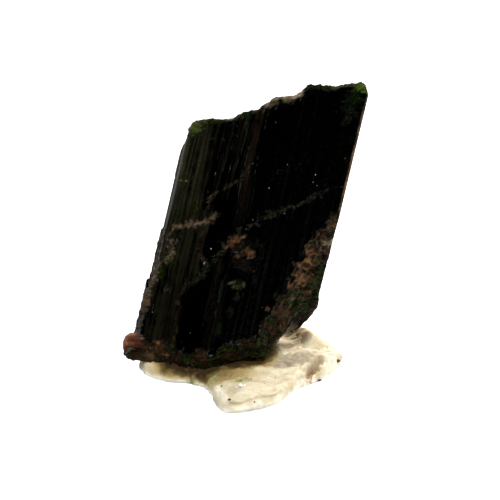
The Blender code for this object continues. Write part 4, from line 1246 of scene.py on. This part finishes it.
def puttySurface(form):
    surface, tree, shader = newSurface("displayPutty")
    colours = form["colours"]
    where = placeOf(tree)
    shadeAndStain, cavityShade, rearGlow = finishesOf(tree, "shadeSoilGlow")
    greyShade, paintedBright, beige = finishesOf(tree, "tone")
    smear = finishesOf(tree, "marks")[0]
    streaks = grainOf(tree, where, 1.0, 3.0, (0.8, 3.4, 3.4))
    fine = grainOf(tree, where, 5.0, 4.0)
    colour = colourRamp(tree, grainOf(tree, where, 0.8, 3.0), form["clean"])
    # greyShade is painted shade and paintedBright is painted light
    for mask, name in (
        (stretch(tree, streaks, 0.44, 0.68, 0.0, 0.55), "streaks"),
        (compute(tree, "MULTIPLY", rearGlow, 0.75), "rearGlow"),
        (compute(tree, "MULTIPLY", greyShade, stretch(tree, streaks, 0.32, 0.58, 0.50, 1.0)), "greyShade"),
        (compute(tree, "MULTIPLY", beige, 0.94), "beige"),
        (compute(tree, "MULTIPLY", paintedBright, 0.90), "paintedBright"),
        (compute(tree, "MULTIPLY", smear, stretch(tree, fine, 0.32, 0.54, 0.25, 0.95)), "smear"),
    ):
        colour = blendColours(tree, mask, colour, colours[name])
    # Painted shade and stain, darkest where the putty is closest to the crystal
    shadedAndStained = compute(tree, "MULTIPLY", shadeAndStain, stretch(tree, fine, 0.3, 0.7, 0.85, 1.15))
    for low, high, most, tint in form["shadeAndStains"]:
        colour = blendColours(tree, stretch(tree, shadedAndStained, low, high, 0.0, most), colour, tint)
    # Painted shade deep in the fold
    foldShade = compute(tree, "MULTIPLY", cavityShade, stretch(tree, fine, 0.3, 0.7, 0.6, 1.3))
    foldShade = stretch(tree, foldShade, 0.25, 0.95)
    colour = blendColours(tree, compute(tree, "MULTIPLY", foldShade, 0.90), colour, colours["fold"])
    put(tree, shader.inputs["Base Color"], colour)
    put(tree, shader.inputs["Roughness"], stretch(tree, fine, 0.3, 0.7, 0.48, 0.70))
    shader.inputs["Subsurface Weight"].default_value = form["subsurface"]
    shader.inputs["Subsurface Radius"].default_value = form["subsurfaceRadius"]
    shader.inputs["Subsurface Scale"].default_value = form["subsurfaceScale"]
    bump = addNode(tree, "Bump", {"Strength": 0.4, "Distance": 0.00004, "Height": fine})
    put(tree, shader.inputs["Normal"], bump.outputs[0])
    return surface


# Grains stuck to the putty: the slot, a seed, the darkest and lightest colour, then x, y and size of each

grainForm = {
    "stone_grains": ("tourmaline", 51, (0.010, 0.010, 0.008), (0.06, 0.05, 0.035), [
        (4.42, 0.79, 0.12), (3.55, -0.79, 0.09), (3.62, -0.95, 0.04), (-0.73, -4.70, 0.07), (0.45, -4.55, 0.05),
        (-1.11, -3.12, 0.05), (1.45, -2.26, 0.03), (-2.20, -1.15, 0.04), (0.90, -3.10, 0.03),
        (2.30, -1.50, 0.03), (0.30, -2.75, 0.03),
    ]),
    "green_grains": ("tourmaline", 52, (0.05, 0.16, 0.07), (0.22, 0.42, 0.22), [
        (-1.44, -1.98, 0.09), (-1.30, -2.26, 0.06), (-1.52, -2.14, 0.05), (-0.38, -3.00, 0.04),
        (-0.18, -2.84, 0.07), (0.06, -2.74, 0.06), (0.27, -2.62, 0.04), (-2.55, -1.22, 0.04),
    ]),
    "putty_crumbs": ("putty", 53, (0.75, 0.72, 0.66), (0.90, 0.88, 0.84), [
        (-0.21, -3.70, 0.13), (-0.02, -3.62, 0.08), (-0.40, -3.80, 0.06), (-1.30, -3.20, 0.06),
        (1.10, -2.50, 0.05),
    ]),
}


def unitBall():  # corners and faces of a round ball of radius 1
    ball = bmesh.new()
    bmesh.ops.create_icosphere(ball, subdivisions=2, radius=1.0)
    unit = bpy.data.meshes.new("grainUnit")
    ball.to_mesh(unit)
    ball.free()
    corners = np.array([vert.co for vert in unit.vertices])
    sides = [tuple(face.vertices) for face in unit.polygons]
    bpy.data.meshes.remove(unit)
    return corners, sides


def makeGrains(name, grains, tree, seed):  # lumpy grains that rest on the putty
    draw = np.random.default_rng(seed)
    corners, sides = unitBall()
    points, faces = [], []
    for x, y, size in grains:
        hit = tree.ray_cast(Vector((x, y, 4.0)), Vector((0, 0, -1)))[0]
        if hit is None:
            continue
        lumps = 1.0 + 0.45 * layeredNoise(corners * 1.4 + draw.uniform(0, 50, 3), seed)
        halves = size * draw.uniform(0.7, 1.2, 3) * np.array([1.0, 1.0, 0.7])
        turn = Matrix.Rotation(draw.uniform(0, 6.28), 3, "Z")
        shape = (corners * lumps[:, None] * halves) @ np.array(turn).T
        start = len(points)
        points += (shape + np.array(hit) + np.array([0, 0, size * 0.25])).tolist()
        faces += [tuple(start + corner for corner in side) for side in sides]
    mesh = bpy.data.meshes.new(name)
    mesh.from_pydata((np.array(points) * mm).tolist(), [], faces)
    piece = bpy.data.objects.new(name, mesh)
    bpy.context.scene.collection.objects.link(piece)
    return piece


def grainSurface(name, dark, light):
    surface, tree, shader = newSurface(name)
    fine = grainOf(tree, placeOf(tree), 12.0, 3.0)
    put(tree, shader.inputs["Base Color"], colourRamp(tree, fine, [(0.35, dark), (0.65, light)]))
    shader.inputs["Roughness"].default_value = 0.45
    return surface


# The studio, in metres

studio = {
    "floorSize": 0.6,
    "floorDrop": 0.00002,
    "cameraElevation": 20.0,
    "cameraDistance": 0.30,
    "lookAt": (0.000238, 0.0013, 0.00596),
    "fieldWidth": 0.02381,
    "sensor": 36.0,
    # How bright the sky shows in reflections, from behind and from above, and how bright it is otherwise
    "mirroredBack": 0.85,
    "mirroredTop": 0.05,
    "skyLight": 1.2,
    # Place, size, power, and whether reflections show it
    "lights": {
        "front_light": ((-0.03, -0.15, 0.26), 0.16, 0.92, False),
        "rear_light": ((0.06, 0.20, 0.16), 0.12, 0.75, True),
        "side_light": ((0.22, 0.01, 0.09), 0.24, 0.50, False),
    },
    "lightAim": (0, 0, 0.006),
}


def makeFloor():
    half = studio["floorSize"] / 2
    corners = [(x * half, y * half, -studio["floorDrop"]) for x, y in ((-1, -1), (1, -1), (1, 1), (-1, 1))]
    mesh = bpy.data.meshes.new("studio_floor")
    mesh.from_pydata(corners, [], [(0, 1, 2, 3)])
    floor = bpy.data.objects.new("studio_floor", mesh)
    bpy.context.scene.collection.objects.link(floor)
    surface, tree, shader = newSurface("paleFloor")
    mirrored = addNode(tree, "LightPath").outputs["Is Glossy Ray"]
    place = addNode(tree, "SeparateXYZ", {"Vector": addNode(tree, "TexCoord").outputs["Object"]}).outputs
    farther = stretch(tree, place[1], -0.005, 0.035)
    mirroredFloor = blendColours(tree, farther, (0.02, 0.02, 0.018), (0.22, 0.21, 0.18))
    put(tree, shader.inputs["Base Color"], blendColours(tree, mirrored, (0.6, 0.6, 0.6), mirroredFloor))
    shader.inputs["Roughness"].default_value = 0.9
    shader.inputs["Emission Color"].default_value = (1, 1, 0.99, 1)
    seen = addNode(tree, "LightPath").outputs["Is Camera Ray"]
    put(tree, shader.inputs["Emission Strength"], stretch(tree, seen, 0.0, 1.0, 0.0, 1.0))
    floor.data.materials.append(surface)


def makeCamera():
    camera = bpy.data.cameras.new("studio_camera")
    camera.sensor_width = studio["sensor"]
    camera.lens = studio["sensor"] * studio["cameraDistance"] / studio["fieldWidth"]
    camera.clip_start = 0.01
    camera.clip_end = 10.0
    holder = bpy.data.objects.new("studio_camera", camera)
    bpy.context.scene.collection.objects.link(holder)
    rise = math.radians(studio["cameraElevation"])
    back = Vector((0.0, -math.cos(rise), math.sin(rise)))
    holder.location = Vector(studio["lookAt"]) + back * studio["cameraDistance"]
    holder.rotation_mode = "QUATERNION"
    holder.rotation_quaternion = (-back).to_track_quat("-Z", "Y")
    bpy.context.scene.camera = holder


def softLight(name, place, size, power, mirrored):
    lamp = bpy.data.lights.new(name, "AREA")
    lamp.shape = "DISK"
    lamp.size = size
    lamp.energy = power
    holder = bpy.data.objects.new(name, lamp)
    bpy.context.scene.collection.objects.link(holder)
    holder.location = place
    holder.visible_glossy = mirrored
    holder.rotation_mode = "QUATERNION"
    holder.rotation_quaternion = (Vector(studio["lightAim"]) - Vector(place)).to_track_quat("-Z", "Y")


def makeSky():
    world = bpy.data.worlds.new("studio_world")
    bpy.context.scene.world = world
    world.use_nodes = True
    tree = world.node_tree
    direction = addNode(tree, "TexCoord").outputs["Generated"]
    parts = addNode(tree, "SeparateXYZ", {"Vector": direction}).outputs
    behind = stretch(tree, parts[1], 0.30, 0.85, 0.0, 1.0)
    above = stretch(tree, parts[2], 0.72, 0.95, 0.0, 1.0)
    rays = addNode(tree, "LightPath").outputs
    full = studio["skyLight"]
    shares = []
    for part, mirrored in ((behind, studio["mirroredBack"]), (above, studio["mirroredTop"])):
        share = stretch(tree, rays["Is Glossy Ray"], 0.0, 1.0, full, mirrored)
        shares.append(compute(tree, "MULTIPLY", part, share))
    light = compute(tree, "MAXIMUM", *shares)
    background = tree.nodes["Background"]
    background.inputs["Color"].default_value = (1.0, 0.99, 0.97, 1.0)
    put(tree, background.inputs["Strength"], stretch(tree, rays["Is Camera Ray"], 0.0, 1.0, light, full))


stone = makeCrystal(crystalForm)
stone.data.materials.append(tourmalineSurface(crystalForm))
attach(stone, "root")
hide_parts("tourmaline_crystal")

wad = makePutty(puttyForm, stone)
wad.data.materials.append(puttySurface(puttyForm))
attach(wad, "root")
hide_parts("putty_pad")

puttyTree = surfaceTree(wad)
for name, (slot, seed, dark, light, grains) in grainForm.items():
    piece = makeGrains(name, grains, puttyTree, seed)
    piece.data.materials.append(grainSurface(name + "Surface", dark, light))
    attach(piece, "root")
print("pieces made")

makeFloor()
makeCamera()
makeSky()
for name, (place, size, power, mirrored) in studio["lights"].items():
    softLight(name, place, size, power, mirrored)
bpy.context.scene.view_settings.view_transform = "Standard"
print("studio made")
